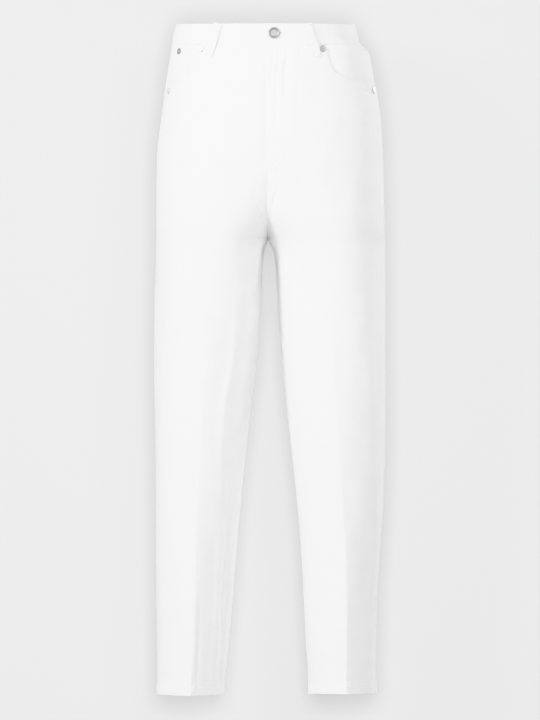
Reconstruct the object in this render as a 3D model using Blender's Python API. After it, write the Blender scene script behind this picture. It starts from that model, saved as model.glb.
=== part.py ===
"""Loose fit jeans with a high waist, standing open as if worn, with no wearer.

Every cut-and-sewn piece is a thin closed wall of cloth. All of them are read from one surface: two leg
sections that merge above the crotch into the hips and the waist. The front faces -Y and the wearer's left is
at +X. The origin is the middle of the waist opening, where a wearer holds the jeans up. Sizes below are in
millimetres, and build_mesh turns them into metres.
"""

import math

import bpy
import numpy as np

MM = 0.001
LEFT, RIGHT = 1, -1
FRONT, BACK = -1, 1

# Cloth and seams
CLOTH = 1.2
SEAM_GAP = 0.3
LAYER_ROOM = 0.75
POCKET_LIFT = 0.8
CROTCH = -298.0

# Top edge of the waistband: its middle height, how far it climbs to the back, and its dip at the sides
TOP_MIDDLE = 0.75
TOP_TILT = 7.25
TOP_DIP = 1.75

# Waistband, which stands a little proud of the cloth below it
BAND_HEIGHT = 30.9
BAND_WALL = 2.2
BAND_LIFT = 0.6
BAND_END = -0.037
BAND_UNDERLAP = 0.135
BAND_SINK_START = 3.80
BAND_SINK_END = 3.93
BAND_STEPS = 112

# Turned hem: its height, the step of its fold, the extra wall inside, and each leg's height and front rise
HEM_HEIGHT = 18.0
HEM_STEP = 1.5
HEM_LIFT = 0.4
HEM_EXTRA = 1.0
HEM_FLOOR = {LEFT: -1009.1, RIGHT: -1009.6}
HEM_RISE = {LEFT: 3.5, RIGHT: 1.6}
HEM_DROP_BACK = 2.4

# Yoke seam on the back, at the middle and how far it climbs to the side
YOKE_MIDDLE = -88.0
YOKE_CLIMB = 30.0

# Columns and fading of the panel grids
PANEL_COLUMNS = 12
TOP_FADE = 130.0
HEM_FADE = 60.0
FOLD_MARGIN = 0.12

# Belt loops
LOOP_WIDTH = 13.0
LOOP_WALL = 1.7

# Metal caps: sizes, how far off the cloth they sit, and their turned outline as shares of radius and height
BUTTON_RADIUS = 8.6
BUTTON_HEIGHT = 3.0
RIVET_RADIUS = 4.8
RIVET_HEIGHT = 1.8
CAP_ROOM = 0.4
CAP_SIDES = 20
CAP_OUTLINE = ((0.0, 1.0), (0.55, 0.96), (0.88, 0.78), (1.0, 0.42), (0.97, 0.0), (0.0, 0.0))

# Coin pocket on the right facing: its shares, its top, height, flare towards the foot and wall
COIN_SHARES = (0.56, 0.87)
COIN_TOP = -39.5
COIN_HEIGHT = 62.0
COIN_FLARE = 0.02
COIN_WALL = 1.0

# Back pocket: middle share and how it drifts down, half width and taper, top, tilt, height and point
POCKET_MIDDLE = 0.50
POCKET_DRIFT = 0.015
POCKET_HALF = 0.270
POCKET_TAPER = 0.030
POCKET_TOP = -112.0
POCKET_TILT = 6.0
POCKET_HEIGHT = 128.0
POCKET_POINT = 22.0

# Fly: how far the hidden strips reach to each side of the middle seam, and how far down
FLY_LENGTH = 138.0
ZIP_WALL = 1.0
ZIP_REACH = (-0.045, 0.085)
UNDERLAP_REACH = (-0.06, 0.17)


def table(columns, *rows):
    """A short table, as one array for each named column."""
    names = columns.split()
    return {name: np.array([row[i] for row in rows], float) for i, name in enumerate(names)}


# The outline from the front, down the two side seams
OUTLINE = table(
    "height right_side left_side",
    (14, -134.0, 130.0),
    (-4, -137.0, 132.5),
    (-16, -140.0, 135.0),
    (-27, -141.5, 136.5),
    (-33, -143.0, 143.0),
    (-39, -144.0, 150.0),
    (-47, -145.2, 154.3),
    (-62, -147.8, 157.3),
    (-84, -150.8, 161.0),
    (-114, -155.0, 167.0),
    (-144, -159.0, 170.8),
    (-190, -164.4, 173.8),
    (-235, -166.0, 175.3),
    (-340, -167.0, 177.6),
    (-385, -168.0, 178.2),
    (-446, -169.8, 178.4),
    (-506, -170.0, 178.4),
    (-566, -169.0, 178.4),
    (-626, -167.8, 178.0),
    (-686, -167.4, 176.2),
    (-746, -167.4, 173.4),
    (-807, -167.4, 169.2),
    (-867, -166.9, 165.6),
    (-927, -166.0, 164.4),
    (-972, -165.7, 164.0),
    (-1014, -165.5, 165.0),
)

# The middle seam above the crotch, and the two inseams below it
MIDDLE_SEAM = table(
    "height across",
    (14, 4.5),
    (-4, 4.5),
    (-33, 5.8),
    (-62, 4.1),
    (-114, 2.9),
    (-190, 2.7),
    (-235, 1.6),
    (-298, -1.5),
)
INSEAMS = table(
    "height right left",
    (-298, -1.5, -1.5),
    (-310, -3.2, 2.4),
    (-325, -5.0, 7.2),
    (-340, -6.2, 11.4),
    (-385, -7.6, 14.6),
    (-446, -10.0, 18.8),
    (-506, -16.4, 23.4),
    (-566, -24.0, 29.2),
    (-626, -30.8, 36.0),
    (-686, -36.9, 42.8),
    (-746, -42.8, 48.6),
    (-807, -47.6, 53.3),
    (-867, -52.7, 56.5),
    (-927, -58.0, 59.4),
    (-972, -62.4, 62.3),
    (-1014, -66.6, 64.2),
)

# The outline from the side: the front line, the line of the side seam and the back line
PROFILE = table(
    "height front side back",
    (14, -98.0, 0.0, 102.0),
    (-32, -101.0, 0.0, 107.0),
    (-70, -107.0, 0.0, 120.0),
    (-115, -112.0, 0.0, 135.0),
    (-160, -114.0, 0.0, 145.0),
    (-205, -114.0, 1.0, 148.0),
    (-250, -111.0, 2.0, 145.0),
    (-298, -106.0, 3.0, 133.0),
    (-340, -100.0, 4.0, 118.0),
    (-400, -94.0, 5.0, 106.0),
    (-460, -90.0, 5.0, 98.0),
    (-530, -85.0, 4.0, 90.0),
    (-600, -80.0, 3.0, 85.0),
    (-680, -74.0, 3.0, 82.0),
    (-760, -67.0, 5.0, 79.0),
    (-840, -60.0, 7.0, 75.0),
    (-920, -54.0, 9.0, 71.0),
    (-1014, -49.0, 11.0, 67.0),
)

# How a section is rounded. The ridge is where it is deepest, as a share of the way from the inner edge to
# the side, fullness is 2 for an ellipse and more for a squarer section, and each press is how sharp the
# pressed crease is, from 0 to 1.
SHAPE = table(
    "height left_ridge right_ridge fullness front_press back_press",
    (14, 0.0, 0.0, 2.15, 0.0, 0.0),
    (-40, 0.0, 0.0, 2.15, 0.0, 0.0),
    (-80, 0.02, 0.02, 2.17, 0.0, 0.0),
    (-115, 0.07, 0.07, 2.20, 0.0, 0.0),
    (-160, 0.15, 0.15, 2.20, 0.0, 0.0),
    (-205, 0.245, 0.245, 2.20, 0.0, 0.0),
    (-250, 0.362, 0.362, 2.19, 0.0, 0.0),
    (-275, 0.438, 0.438, 2.18, 0.0, 0.0),
    (-290, 0.482, 0.482, 2.18, 0.0, 0.0),
    (-298, 0.50, 0.50, 2.18, 0.0, 0.0),
    (-400, 0.50, 0.50, 2.20, 0.04, 0.02),
    (-500, 0.497, 0.490, 2.26, 0.12, 0.08),
    (-626, 0.497, 0.487, 2.30, 0.21, 0.14),
    (-746, 0.530, 0.495, 2.32, 0.30, 0.20),
    (-867, 0.570, 0.488, 2.34, 0.40, 0.28),
    (-927, 0.563, 0.483, 2.34, 0.45, 0.32),
    (-1014, 0.540, 0.495, 2.34, 0.50, 0.36),
)

# The largest soft folds, each along a bowed line from start to end. A negative height is a trough.
FOLDS = (
    # side, face, (start share, height), (middle), (end), height, half width
    (RIGHT, FRONT, (0.06, -206), (0.18, -246), (0.40, -268), -2.2, 20),
    (RIGHT, FRONT, (0.06, -270), (0.15, -325), (0.22, -410), 2.4, 20),
    (LEFT, FRONT, (0.06, -222), (0.16, -256), (0.34, -276), -1.8, 20),
    (LEFT, FRONT, (0.06, -284), (0.14, -340), (0.20, -425), 2.2, 20),
    (RIGHT, BACK, (0.12, -268), (0.38, -296), (0.72, -286), -3.4, 24),
    (LEFT, BACK, (0.10, -262), (0.36, -290), (0.68, -296), -3.4, 24),
    (RIGHT, BACK, (0.14, -330), (0.42, -352), (0.76, -332), 2.4, 24),
    (LEFT, BACK, (0.16, -322), (0.40, -350), (0.72, -345), 2.4, 24),
    (RIGHT, BACK, (0.18, -590), (0.45, -612), (0.80, -596), -2.2, 24),
    (LEFT, BACK, (0.22, -604), (0.50, -618), (0.84, -592), -2.2, 24),
)

# Scoop of a front pocket, from the waistband seam to the side seam: how far it has run and dropped
SCOOP = table(
    "run drop",
    (0.000, 0.000),
    (0.010, 0.140),
    (0.031, 0.380),
    (0.060, 0.560),
    (0.100, 0.680),
    (0.160, 0.770),
    (0.250, 0.845),
    (0.360, 0.905),
    (0.480, 0.940),
    (0.600, 0.962),
    (0.730, 0.980),
    (0.870, 0.992),
    (1.000, 1.000),
)
SCOOP_START = {LEFT: 0.352, RIGHT: 0.482}
SCOOP_FOOT = -96.0

# Pocket facing: how far it runs on under the front, below the scoop and past the side seam
FACING_UNDER = 0.05
FACING_FOOT = -110.0
FACING_BEYOND = 0.02
SIDE_SEAM_REACH = 280.0

# Columns of a front panel before the scoop, and heights of the rows in a panel: from, to and steps
COLUMNS_BEFORE_SCOOP = 5
FRONT_ROWS = ((-37, -167, 8), (-167, -250, 4), (-250, -298, 5), (-298, -340, 3), (-340, -990, 16))
BACK_ROWS = ((-88, -250, 7), (-250, -298, 5), (-298, -340, 3), (-340, -990, 16))


def curve_through(heights, values):
    """A smooth curve through a table's column that doesn't swing past its rows."""
    h = heights[::-1]
    v = values[::-1]
    steps = np.diff(h)
    slopes = np.diff(v) / steps
    tangents = np.zeros(len(h))
    tangents[0] = slopes[0]
    tangents[-1] = slopes[-1]
    for i in range(1, len(h) - 1):
        if slopes[i - 1] * slopes[i] > 0:
            tangents[i] = 2 * slopes[i - 1] * slopes[i] / (slopes[i - 1] + slopes[i])

    def value(height):
        inside = np.clip(height, h[0], h[-1])
        i = np.clip(np.searchsorted(h, inside) - 1, 0, len(h) - 2)
        t = (inside - h[i]) / steps[i]
        start = (1 + 2 * t) * (1 - t) ** 2 * v[i] + t * (1 - t) ** 2 * steps[i] * tangents[i]
        end = t * t * (3 - 2 * t) * v[i + 1] + t * t * (t - 1) * steps[i] * tangents[i + 1]
        return start + end

    return value


SIDE_EDGE = {
    LEFT: curve_through(OUTLINE["height"], OUTLINE["left_side"]),
    RIGHT: curve_through(OUTLINE["height"], OUTLINE["right_side"]),
}
SEAM_LINE = curve_through(MIDDLE_SEAM["height"], MIDDLE_SEAM["across"])
INSEAM_LINE = {
    LEFT: curve_through(INSEAMS["height"], INSEAMS["left"]),
    RIGHT: curve_through(INSEAMS["height"], INSEAMS["right"]),
}
FACE_LINE = {
    FRONT: curve_through(PROFILE["height"], PROFILE["front"]),
    BACK: curve_through(PROFILE["height"], PROFILE["back"]),
}
SIDE_LINE = curve_through(PROFILE["height"], PROFILE["side"])
RIDGE = {
    LEFT: curve_through(SHAPE["height"], SHAPE["left_ridge"]),
    RIGHT: curve_through(SHAPE["height"], SHAPE["right_ridge"]),
}
FULLNESS = curve_through(SHAPE["height"], SHAPE["fullness"])
PRESS = {
    FRONT: curve_through(SHAPE["height"], SHAPE["front_press"]),
    BACK: curve_through(SHAPE["height"], SHAPE["back_press"]),
}


def inner_edge(side, z):
    """The middle seam above the crotch, or the leg's inseam below it."""
    return np.where(z > CROTCH, SEAM_LINE(z), INSEAM_LINE[side](z))


def start_angle(side, z):
    """The angle of a section's inner end: half a turn on a leg, a quarter turn at the waist."""
    ridge = np.clip(RIDGE[side](z), 0.0, 0.5)
    cut = (ridge / (1 - ridge)) ** (FULLNESS(z) / 2)
    return np.where(z > CROTCH, np.arccos(-np.clip(cut, 0, 1)), math.pi)


def bare_point(side, face, angle, z, gap):
    """A point on the outer face of the cloth before any fold, at an angle round one section."""
    inner = inner_edge(side, z) + side * gap / 2
    width = SIDE_EDGE[side](z) - inner
    ridge = RIDGE[side](z)
    centre = inner + ridge * width
    outer_reach = (1 - ridge) * width
    inner_reach = np.where(z > CROTCH, 1 - ridge, ridge) * width
    power = 2 / FULLNESS(z)
    cosine = np.cos(angle)
    sine = np.sin(angle)
    across = np.sign(cosine) * np.abs(cosine) ** power
    away = np.sign(sine) * np.abs(sine) ** power
    press = PRESS[face](z)
    tent = np.sign(sine) * (1 - np.abs(across))
    x = centre + np.where(across < 0, inner_reach, outer_reach) * across
    depth = np.abs(FACE_LINE[face](z) - SIDE_LINE(z))
    y = SIDE_LINE(z) + face * depth * ((1 - press) * away + press * tent)
    return np.stack([x, y, z + 0 * x], axis=-1)


def outward(side, face, angle, z, gap):
    """The direction square to the cloth, pointing out of the garment."""
    turn = 0.02
    rise = 1.0
    along = bare_point(side, face, angle + turn, z, gap) - bare_point(side, face, angle - turn, z, gap)
    up = bare_point(side, face, angle, z + rise, gap) - bare_point(side, face, angle, z - rise, gap)
    normal = np.cross(along, up)
    normal /= np.linalg.norm(normal, axis=-1, keepdims=True)
    facing = normal[..., 0] * side * np.cos(angle) + normal[..., 1] * face * np.sin(angle)
    return normal * np.where(facing < 0, -1.0, 1.0)[..., None]


def fold_height(side, face, share, points):
    """How far the soft folds move these points of one panel out. They die away towards its seams."""
    total = np.zeros(points.shape[:-1])
    near_seam = np.clip(np.minimum(share, 1 - share) / FOLD_MARGIN, 0, 1)
    for fold_side, fold_face, start, middle, end, height, half_width in FOLDS:
        if (fold_side, fold_face) != (side, face):
            continue
        t = np.linspace(0, 1, 9)
        share = (1 - t) ** 2 * start[0] + 2 * t * (1 - t) * middle[0] + t * t * end[0]
        level = (1 - t) ** 2 * start[1] + 2 * t * (1 - t) * middle[1] + t * t * end[1]
        line = bare_point(side, face, start_angle(side, level) * (1 - share), level, 0.0)
        nearest = np.linalg.norm(points[..., None, :] - line, axis=-1)
        fade = np.sin(math.pi * (0.1 + 0.8 * t)) ** 2
        total += height * np.max(fade * np.exp(-(nearest / half_width) ** 2), axis=-1)
    return total * near_seam * near_seam * (3 - 2 * near_seam)


def cloth(side, face, share, z, lift=0.0, gap=SEAM_GAP):
    """Points of the cloth, moved out by lift. The share runs from the inner edge (0) to the side seam (1)."""
    share, z, lift = np.broadcast_arrays(np.asarray(share, float), np.asarray(z, float), lift)
    angle = start_angle(side, z) * (1 - share)
    points = bare_point(side, face, angle, z, gap)
    normals = outward(side, face, angle, z, gap)
    return points + normals * (lift + fold_height(side, face, share, points))[..., None], normals


def quarter_of(turn):
    """The side, the face and the share of a turn round the waist."""
    turn = turn % 4
    if turn < 1:
        return LEFT, FRONT, turn
    if turn < 2:
        return LEFT, BACK, 2 - turn
    if turn < 3:
        return RIGHT, BACK, turn - 2
    return RIGHT, FRONT, 4 - turn


def top_edge(face, share):
    """Height of the waistband's top edge."""
    bearing = np.asarray(share, float) * math.pi / 2
    toward_front = np.cos(bearing) * -face
    return TOP_MIDDLE - TOP_TILT * toward_front - TOP_DIP * np.sin(bearing) ** 2


def band_seam(face, share):
    """Height of the seam under the waistband."""
    return top_edge(face, share) - BAND_HEIGHT


def hem_edge(side, face, share):
    """Height of the hem, which lifts over the front crease and drops at the back."""
    bulge = np.sin(math.pi * np.asarray(share, float))
    return HEM_FLOOR[side] + (HEM_RISE[side] if face == FRONT else -HEM_DROP_BACK) * bulge


def yoke_seam(share):
    """Height of the slanted seam between the yoke and the back."""
    return YOKE_MIDDLE + YOKE_CLIMB * np.asarray(share, float)


def edge_share(side, face, z):
    """Half a seam gap, as a share of the way round a section."""
    depth = np.abs(FACE_LINE[face](z) - SIDE_LINE(z))
    return SEAM_GAP / 2 / (start_angle(side, z) * depth)


def row_heights(steps):
    """Heights of a panel's rows, from the top down."""
    heights = [steps[0][0]]
    for top, bottom, count in steps:
        heights += list(np.linspace(top, bottom, count + 1)[1:])
    return np.array(heights, float)


def build_mesh(name, vertices, faces, material):
    """A named object at the origin from points in millimetres."""
    mesh = bpy.data.meshes.new(name)
    mesh.from_pydata([tuple(float(c) * MM for c in v) for v in vertices], [], faces)
    mesh.validate()
    mesh.materials.append(material)
    mesh.shade_smooth()
    mesh.set_sharp_from_angle(angle=math.radians(50))
    made = bpy.data.objects.new(name, mesh)
    bpy.context.collection.objects.link(made)
    return made


def wall(name, outer, inner, material, flip):
    """A closed wall between two grids of points, with a rim all round."""
    rows, columns = outer.shape[:2]
    count = rows * columns
    faces = []
    for i in range(rows - 1):
        for j in range(columns - 1):
            a = i * columns + j
            faces.append((a, a + columns, a + columns + 1, a + 1))
            faces.append((count + a, count + a + 1, count + a + columns + 1, count + a + columns))
    rim = [j for j in range(columns - 1)]
    rim += [i * columns + columns - 1 for i in range(rows - 1)]
    rim += [(rows - 1) * columns + j for j in range(columns - 1, 0, -1)]
    rim += [i * columns for i in range(rows - 1, 0, -1)]
    for a, b in zip(rim, rim[1:] + rim[:1]):
        faces.append((a, b, count + b, count + a))
    if flip:
        faces = [face[::-1] for face in faces]
    return build_mesh(name, list(outer.reshape(-1, 3)) + list(inner.reshape(-1, 3)), faces, material)


def patch(name, side, face, share, z, lift, thickness, material):
    """A wall laid out on one panel's surface, with its outer face moved out by lift."""
    outer, normals = cloth(side, face, share, z, lift)
    inner = outer - normals * np.broadcast_to(thickness, share.shape)[..., None]
    return wall(name, outer, inner, material, side * face > 0)


def panel_grid(side, face, heights, top_share, top_z):
    """Shares and heights of a leg panel, whose rows follow its top edge and its hem."""
    even = np.linspace(0, 1, len(top_share))
    step = HEM_FLOOR[side] + HEM_HEIGHT
    levels = np.concatenate([heights, [step + HEM_STEP / 2, step - HEM_STEP / 2, HEM_FLOOR[side]]])
    share = np.zeros((len(levels), len(even)))
    z = np.zeros_like(share)
    for i, level in enumerate(levels):
        to_top = np.clip(1 - (levels[0] - level) / TOP_FADE, 0, 1)
        to_hem = np.clip(1 - (level - HEM_FLOOR[side]) / HEM_FADE, 0, 1)
        inset = edge_share(side, face, level)
        columns = even + (top_share - even) * to_top
        share[i] = inset + columns * (1 - 2 * inset)
        z[i] = level + (top_z - levels[0]) * to_top
        z[i] += (hem_edge(side, face, share[i]) - HEM_FLOOR[side]) * to_hem
    in_hem = np.zeros_like(share)
    in_hem[-2:] = 1
    return share, z, in_hem


def leg_panel(name, side, face, heights, top_share, top_z, material):
    """One front or back, from its top seam to the hem, with the hem turned up double."""
    share, z, in_hem = panel_grid(side, face, heights, top_share, top_z)
    thickness = CLOTH + (HEM_LIFT + HEM_EXTRA) * in_hem
    return patch(name, side, face, share, z, HEM_LIFT * in_hem, thickness, material)


def front_panel(name, side, material):
    """A front panel, scooped at its pocket."""
    start = SCOOP_START[side]
    before = np.linspace(0, start, COLUMNS_BEFORE_SCOOP + 1)[:-1]
    corner = band_seam(FRONT, start) - SEAM_GAP
    share = np.concatenate([before, start + (1 - start) * SCOOP["run"]])
    z = np.concatenate([band_seam(FRONT, before) - SEAM_GAP, corner + (SCOOP_FOOT - corner) * SCOOP["drop"]])
    return leg_panel(name, side, FRONT, row_heights(FRONT_ROWS), share, z, material)


def back_panel(name, side, material):
    """A back panel, which starts at the yoke seam."""
    share = np.linspace(0, 1, PANEL_COLUMNS + 1)
    top = yoke_seam(share) - SEAM_GAP / 2
    return leg_panel(name, side, BACK, row_heights(BACK_ROWS), share, top, material)


def yoke(name, side, material):
    """The yoke between the waistband and a back panel."""
    down = np.linspace(0, 1, 5)[:, None]
    across = np.linspace(0, 1, PANEL_COLUMNS + 1)[None, :]
    inset = edge_share(side, BACK, YOKE_MIDDLE)
    share = inset + across * (1 - 2 * inset) + 0 * down
    top = band_seam(BACK, share) - SEAM_GAP
    bottom = yoke_seam(share) + SEAM_GAP / 2
    return patch(name, side, BACK, share, top + (bottom - top) * down, 0.0, CLOTH, material)


def pocket_facing(name, side, depth, material):
    """The facing seen in the scoop, which runs on under the front and past the side seam."""
    down = np.linspace(0, 1, 8)[:, None]
    across = np.linspace(SCOOP_START[side] - FACING_UNDER, 1 + FACING_BEYOND, 12)[None, :]
    share = np.clip(across, 0, 1) + 0 * down
    top = band_seam(FRONT, share) - SEAM_GAP
    outer, normals = cloth(side, FRONT, share, top + (FACING_FOOT - top) * down, -depth)
    outer[..., 1] += np.clip(across - 1, 0, None) * SIDE_SEAM_REACH
    return wall(name, outer, outer - normals * CLOTH, material, side * FRONT > 0)


def coin_pocket(name, side, material):
    """The small pocket on the facing, between it and the front panel."""
    down = np.linspace(0, 1, 6)[:, None]
    across = np.linspace(0, 1, 6)[None, :]
    share = COIN_SHARES[0] + (COIN_SHARES[1] - COIN_SHARES[0]) * across + COIN_FLARE * down * (0.5 - across)
    z = COIN_TOP - COIN_HEIGHT * down + 0 * across
    return patch(name, side, FRONT, share, z, -LAYER_ROOM - CLOTH, COIN_WALL, material)


def back_pocket(name, side, material):
    """A plain patch pocket with a pointed foot."""
    down = np.linspace(0, 1, 9)[:, None]
    across = np.linspace(-1, 1, 9)[None, :]
    share = POCKET_MIDDLE + POCKET_DRIFT * down + (POCKET_HALF - POCKET_TAPER * down) * across
    foot = POCKET_POINT * (1 - np.abs(across)) * down
    z = POCKET_TOP + POCKET_TILT * across - POCKET_HEIGHT * down - foot
    return patch(name, side, BACK, share, z, POCKET_LIFT + CLOTH, CLOTH, material)


def waistband(name, material):
    """The band all round the waist. Its left end laps over the right end at the middle front."""
    turns = np.linspace(BAND_END, 4 + BAND_UNDERLAP, BAND_STEPS + 1)
    sink = np.clip((turns - BAND_SINK_START) / (BAND_SINK_END - BAND_SINK_START), 0, 1)
    sink = sink * sink * (3 - 2 * sink)
    lift = BAND_LIFT - (BAND_WALL + 0.5) * sink
    down = np.linspace(0, 1, 5)
    outer = np.zeros((len(down), len(turns), 3))
    inner = np.zeros_like(outer)
    for j, turn in enumerate(turns):
        side, face, share = quarter_of(turn)
        z = top_edge(face, share) - BAND_HEIGHT * down
        points, normals = cloth(side, face, share, z, lift[j], 0.0)
        outer[:, j] = points
        inner[:, j] = points - normals * BAND_WALL
    return wall(name, outer, inner, material, False)


def strip_behind_fly(name, reach, depth, thickness, material):
    """A long strip hidden behind the fly, across the middle seam."""
    down = np.linspace(0, 1, 9)
    turns = np.linspace(reach[0], reach[1], 7)
    outer = np.zeros((len(down), len(turns), 3))
    inner = np.zeros_like(outer)
    for j, turn in enumerate(turns):
        side, face, share = quarter_of(turn)
        z = band_seam(face, share) - SEAM_GAP - (FLY_LENGTH - 1.0) * down
        points, normals = cloth(side, face, share, z, -depth, 0.0)
        outer[:, j] = points
        inner[:, j] = points - normals * thickness
    return wall(name, outer, inner, material, False)


def share_at(side, face, x, z):
    """The share at which a panel lies at this distance from the middle plane."""
    shares = np.linspace(0, 1, 401)
    xs = bare_point(side, face, start_angle(side, np.full(401, z)) * (1 - shares), np.full(401, z), 0.0)[:, 0]
    return float(np.interp(x * side, xs * side, shares))


# Height below the top edge, and the lift of the loop's inner face off the cloth
LOOP_RISE = (
    (0.0, 1.0),
    (-3.0, 1.5),
    (-9.0, 2.1),
    (-18.0, 2.4),
    (-28.0, 2.2),
    (-35.0, 1.6),
    (-42.0, 0.9),
    (-50.0, 0.5),
)

# Belt loops: name, side, face, share at the top and at the foot
BELT_LOOPS = (
    ("belt_loop_front_left", LEFT, FRONT, 0.271, 0.281),
    ("belt_loop_front_right", RIGHT, FRONT, 0.350, 0.400),
    ("belt_loop_back_left", LEFT, BACK, 0.640, 0.640),
    ("belt_loop_back_right", RIGHT, BACK, 0.640, 0.640),
    ("belt_loop_back_middle", LEFT, BACK, 0.0, 0.0),
)


def belt_loop(name, side, face, top_share, foot_share, material):
    """A narrow folded strip that stands off the waistband between its two sewn ends."""
    vertices = []
    spots = []
    for drop, lift in LOOP_RISE:
        way = drop / LOOP_RISE[-1][0]
        share = top_share + (foot_share - top_share) * way
        z = float(top_edge(face, share)) + drop
        point, normal = cloth(side, face, share, z, lift, 0.0)
        spots.append((point, normal))
    for i, (point, normal) in enumerate(spots):
        ahead = spots[min(i + 1, len(spots) - 1)][0] - spots[max(i - 1, 0)][0]
        across = np.cross(normal, ahead)
        across *= LOOP_WIDTH / 2 / np.linalg.norm(across)
        crown = normal * LOOP_WALL
        for offset in (-across, across, across + crown * 0.8, crown, -across + crown * 0.8):
            vertices.append(point + offset)
    corners = 5
    faces = []
    for i in range(len(spots) - 1):
        for k in range(corners):
            a = i * corners + k
            b = i * corners + (k + 1) % corners
            faces.append((a, b, b + corners, a + corners))
    last = (len(spots) - 1) * corners
    faces.append(tuple(range(corners))[::-1])
    faces.append(tuple(range(last, last + corners)))
    return build_mesh(name, vertices, faces, material)


def domed_disc(name, spot, normal, radius, height, material):
    """A round metal cap with a turned rim, standing on the cloth at a spot."""
    east = np.cross(normal, [0.0, 0.0, 1.0])
    east /= np.linalg.norm(east)
    north = np.cross(east, normal)
    vertices = []
    for out, up in CAP_OUTLINE:
        steps = 1 if out == 0 else CAP_SIDES
        for k in range(steps):
            turn = 2 * math.pi * k / CAP_SIDES
            aside = east * math.cos(turn) + north * math.sin(turn)
            vertices.append(spot + aside * out * radius + normal * up * height)
    faces = [(0, 1 + (k + 1) % CAP_SIDES, 1 + k) for k in range(CAP_SIDES)]
    for level in range(len(CAP_OUTLINE) - 3):
        start = 1 + level * CAP_SIDES
        below = start + CAP_SIDES
        for k in range(CAP_SIDES):
            after = (k + 1) % CAP_SIDES
            faces.append((start + k, start + after, below + after, below + k))
    last = 1 + (len(CAP_OUTLINE) - 3) * CAP_SIDES
    base = len(vertices) - 1
    faces += [(last + k, last + (k + 1) % CAP_SIDES, base) for k in range(CAP_SIDES)]
    return build_mesh(name, vertices, faces, material)


# Rivets: name, side, distance from the middle plane, height
RIVETS = (
    ("rivet_left_inner", LEFT, 82.6, -43.5),
    ("rivet_left_side", LEFT, 158.5, -102.5),
    ("rivet_right_inner", RIGHT, -98.0, -43.0),
    ("rivet_right_side", RIGHT, -147.0, -102.5),
)
BUTTON_AT = (10.6, -20.6)
COIN_RIVET_AT = (-130.0, -45.0)


def rivet(name, side, x, z, lift, material):
    """A rivet on a front panel."""
    spot, normal = cloth(side, FRONT, share_at(side, FRONT, x, z), z, lift)
    return domed_disc(name, spot, normal, RIVET_RADIUS, RIVET_HEIGHT, material)


def button(name, material):
    """The waist button, on the lapped end of the band."""
    x, z = BUTTON_AT
    spot, normal = cloth(LEFT, FRONT, share_at(LEFT, FRONT, x, z), z, BAND_LIFT + CAP_ROOM, 0.0)
    return domed_disc(name, spot, normal, BUTTON_RADIUS, BUTTON_HEIGHT, material)


def finish(name, colour, roughness, metallic):
    """A material with one Principled BSDF."""
    material = bpy.data.materials.new(name)
    material.use_nodes = True
    shader = material.node_tree.nodes["Principled BSDF"]
    shader.inputs["Base Color"].default_value = (*colour, 1.0)
    shader.inputs["Roughness"].default_value = roughness
    shader.inputs["Metallic"].default_value = metallic
    return material


def clear_scene():
    for old in list(bpy.data.objects):
        bpy.data.objects.remove(old, do_unlink=True)


def build():
    """Every piece of the jeans."""
    clear_scene()
    denim = finish("white_denim", (0.90, 0.90, 0.895), 0.86, 0.0)
    band_denim = finish("waistband_denim", (0.90, 0.90, 0.895), 0.84, 0.0)
    pocket_denim = finish("pocket_denim", (0.89, 0.89, 0.885), 0.86, 0.0)
    tape = finish("zip_tape", (0.88, 0.88, 0.87), 0.75, 0.0)
    steel = finish("button_metal", (0.70, 0.70, 0.71), 0.32, 1.0)
    front_panel("front_left", LEFT, denim)
    front_panel("front_right", RIGHT, denim)
    back_panel("back_left", LEFT, denim)
    back_panel("back_right", RIGHT, denim)
    yoke("yoke_left", LEFT, denim)
    yoke("yoke_right", RIGHT, denim)
    waistband("waistband", band_denim)
    under_front = CLOTH + LAYER_ROOM
    pocket_facing("pocket_facing_left", LEFT, under_front, pocket_denim)
    pocket_facing("pocket_facing_right", RIGHT, under_front + COIN_WALL + LAYER_ROOM, pocket_denim)
    coin_pocket("coin_pocket", RIGHT, pocket_denim)
    back_pocket("back_pocket_left", LEFT, pocket_denim)
    back_pocket("back_pocket_right", RIGHT, pocket_denim)
    strip_behind_fly("fly_zip", ZIP_REACH, under_front, ZIP_WALL, tape)
    strip_behind_fly("fly_underlap", UNDERLAP_REACH, under_front + ZIP_WALL + LAYER_ROOM, CLOTH, denim)
    for row in BELT_LOOPS:
        belt_loop(*row, band_denim)
    for name, side, x, z in RIVETS:
        rivet(name, side, x, z, CAP_ROOM, steel)
    rivet("rivet_coin_pocket", RIGHT, *COIN_RIVET_AT, CAP_ROOM - LAYER_ROOM - CLOTH, steel)
    button("waist_button", steel)


build()
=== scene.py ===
import math

import bpy
import numpy as np
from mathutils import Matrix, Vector


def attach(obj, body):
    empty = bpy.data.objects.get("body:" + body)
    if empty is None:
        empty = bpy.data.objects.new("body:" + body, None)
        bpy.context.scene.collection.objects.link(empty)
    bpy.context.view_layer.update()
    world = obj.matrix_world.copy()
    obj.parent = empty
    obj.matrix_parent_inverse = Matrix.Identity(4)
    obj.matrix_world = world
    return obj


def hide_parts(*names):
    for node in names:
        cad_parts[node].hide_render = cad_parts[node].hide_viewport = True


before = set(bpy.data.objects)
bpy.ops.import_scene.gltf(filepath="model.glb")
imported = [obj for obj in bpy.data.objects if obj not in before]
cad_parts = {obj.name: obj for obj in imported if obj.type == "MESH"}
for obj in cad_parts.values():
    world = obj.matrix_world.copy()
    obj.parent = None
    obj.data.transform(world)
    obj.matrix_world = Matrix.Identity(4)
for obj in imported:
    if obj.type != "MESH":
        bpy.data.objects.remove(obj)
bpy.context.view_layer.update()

# Sizes below are in millimetres, and build_mesh turns them into metres
MM = 0.001
LEFT, RIGHT = 1, -1
FRONT, BACK = -1, 1
SIDE_NAME = {LEFT: "left", RIGHT: "right"}
FACE_NAME = {FRONT: "front", BACK: "back"}
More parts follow.
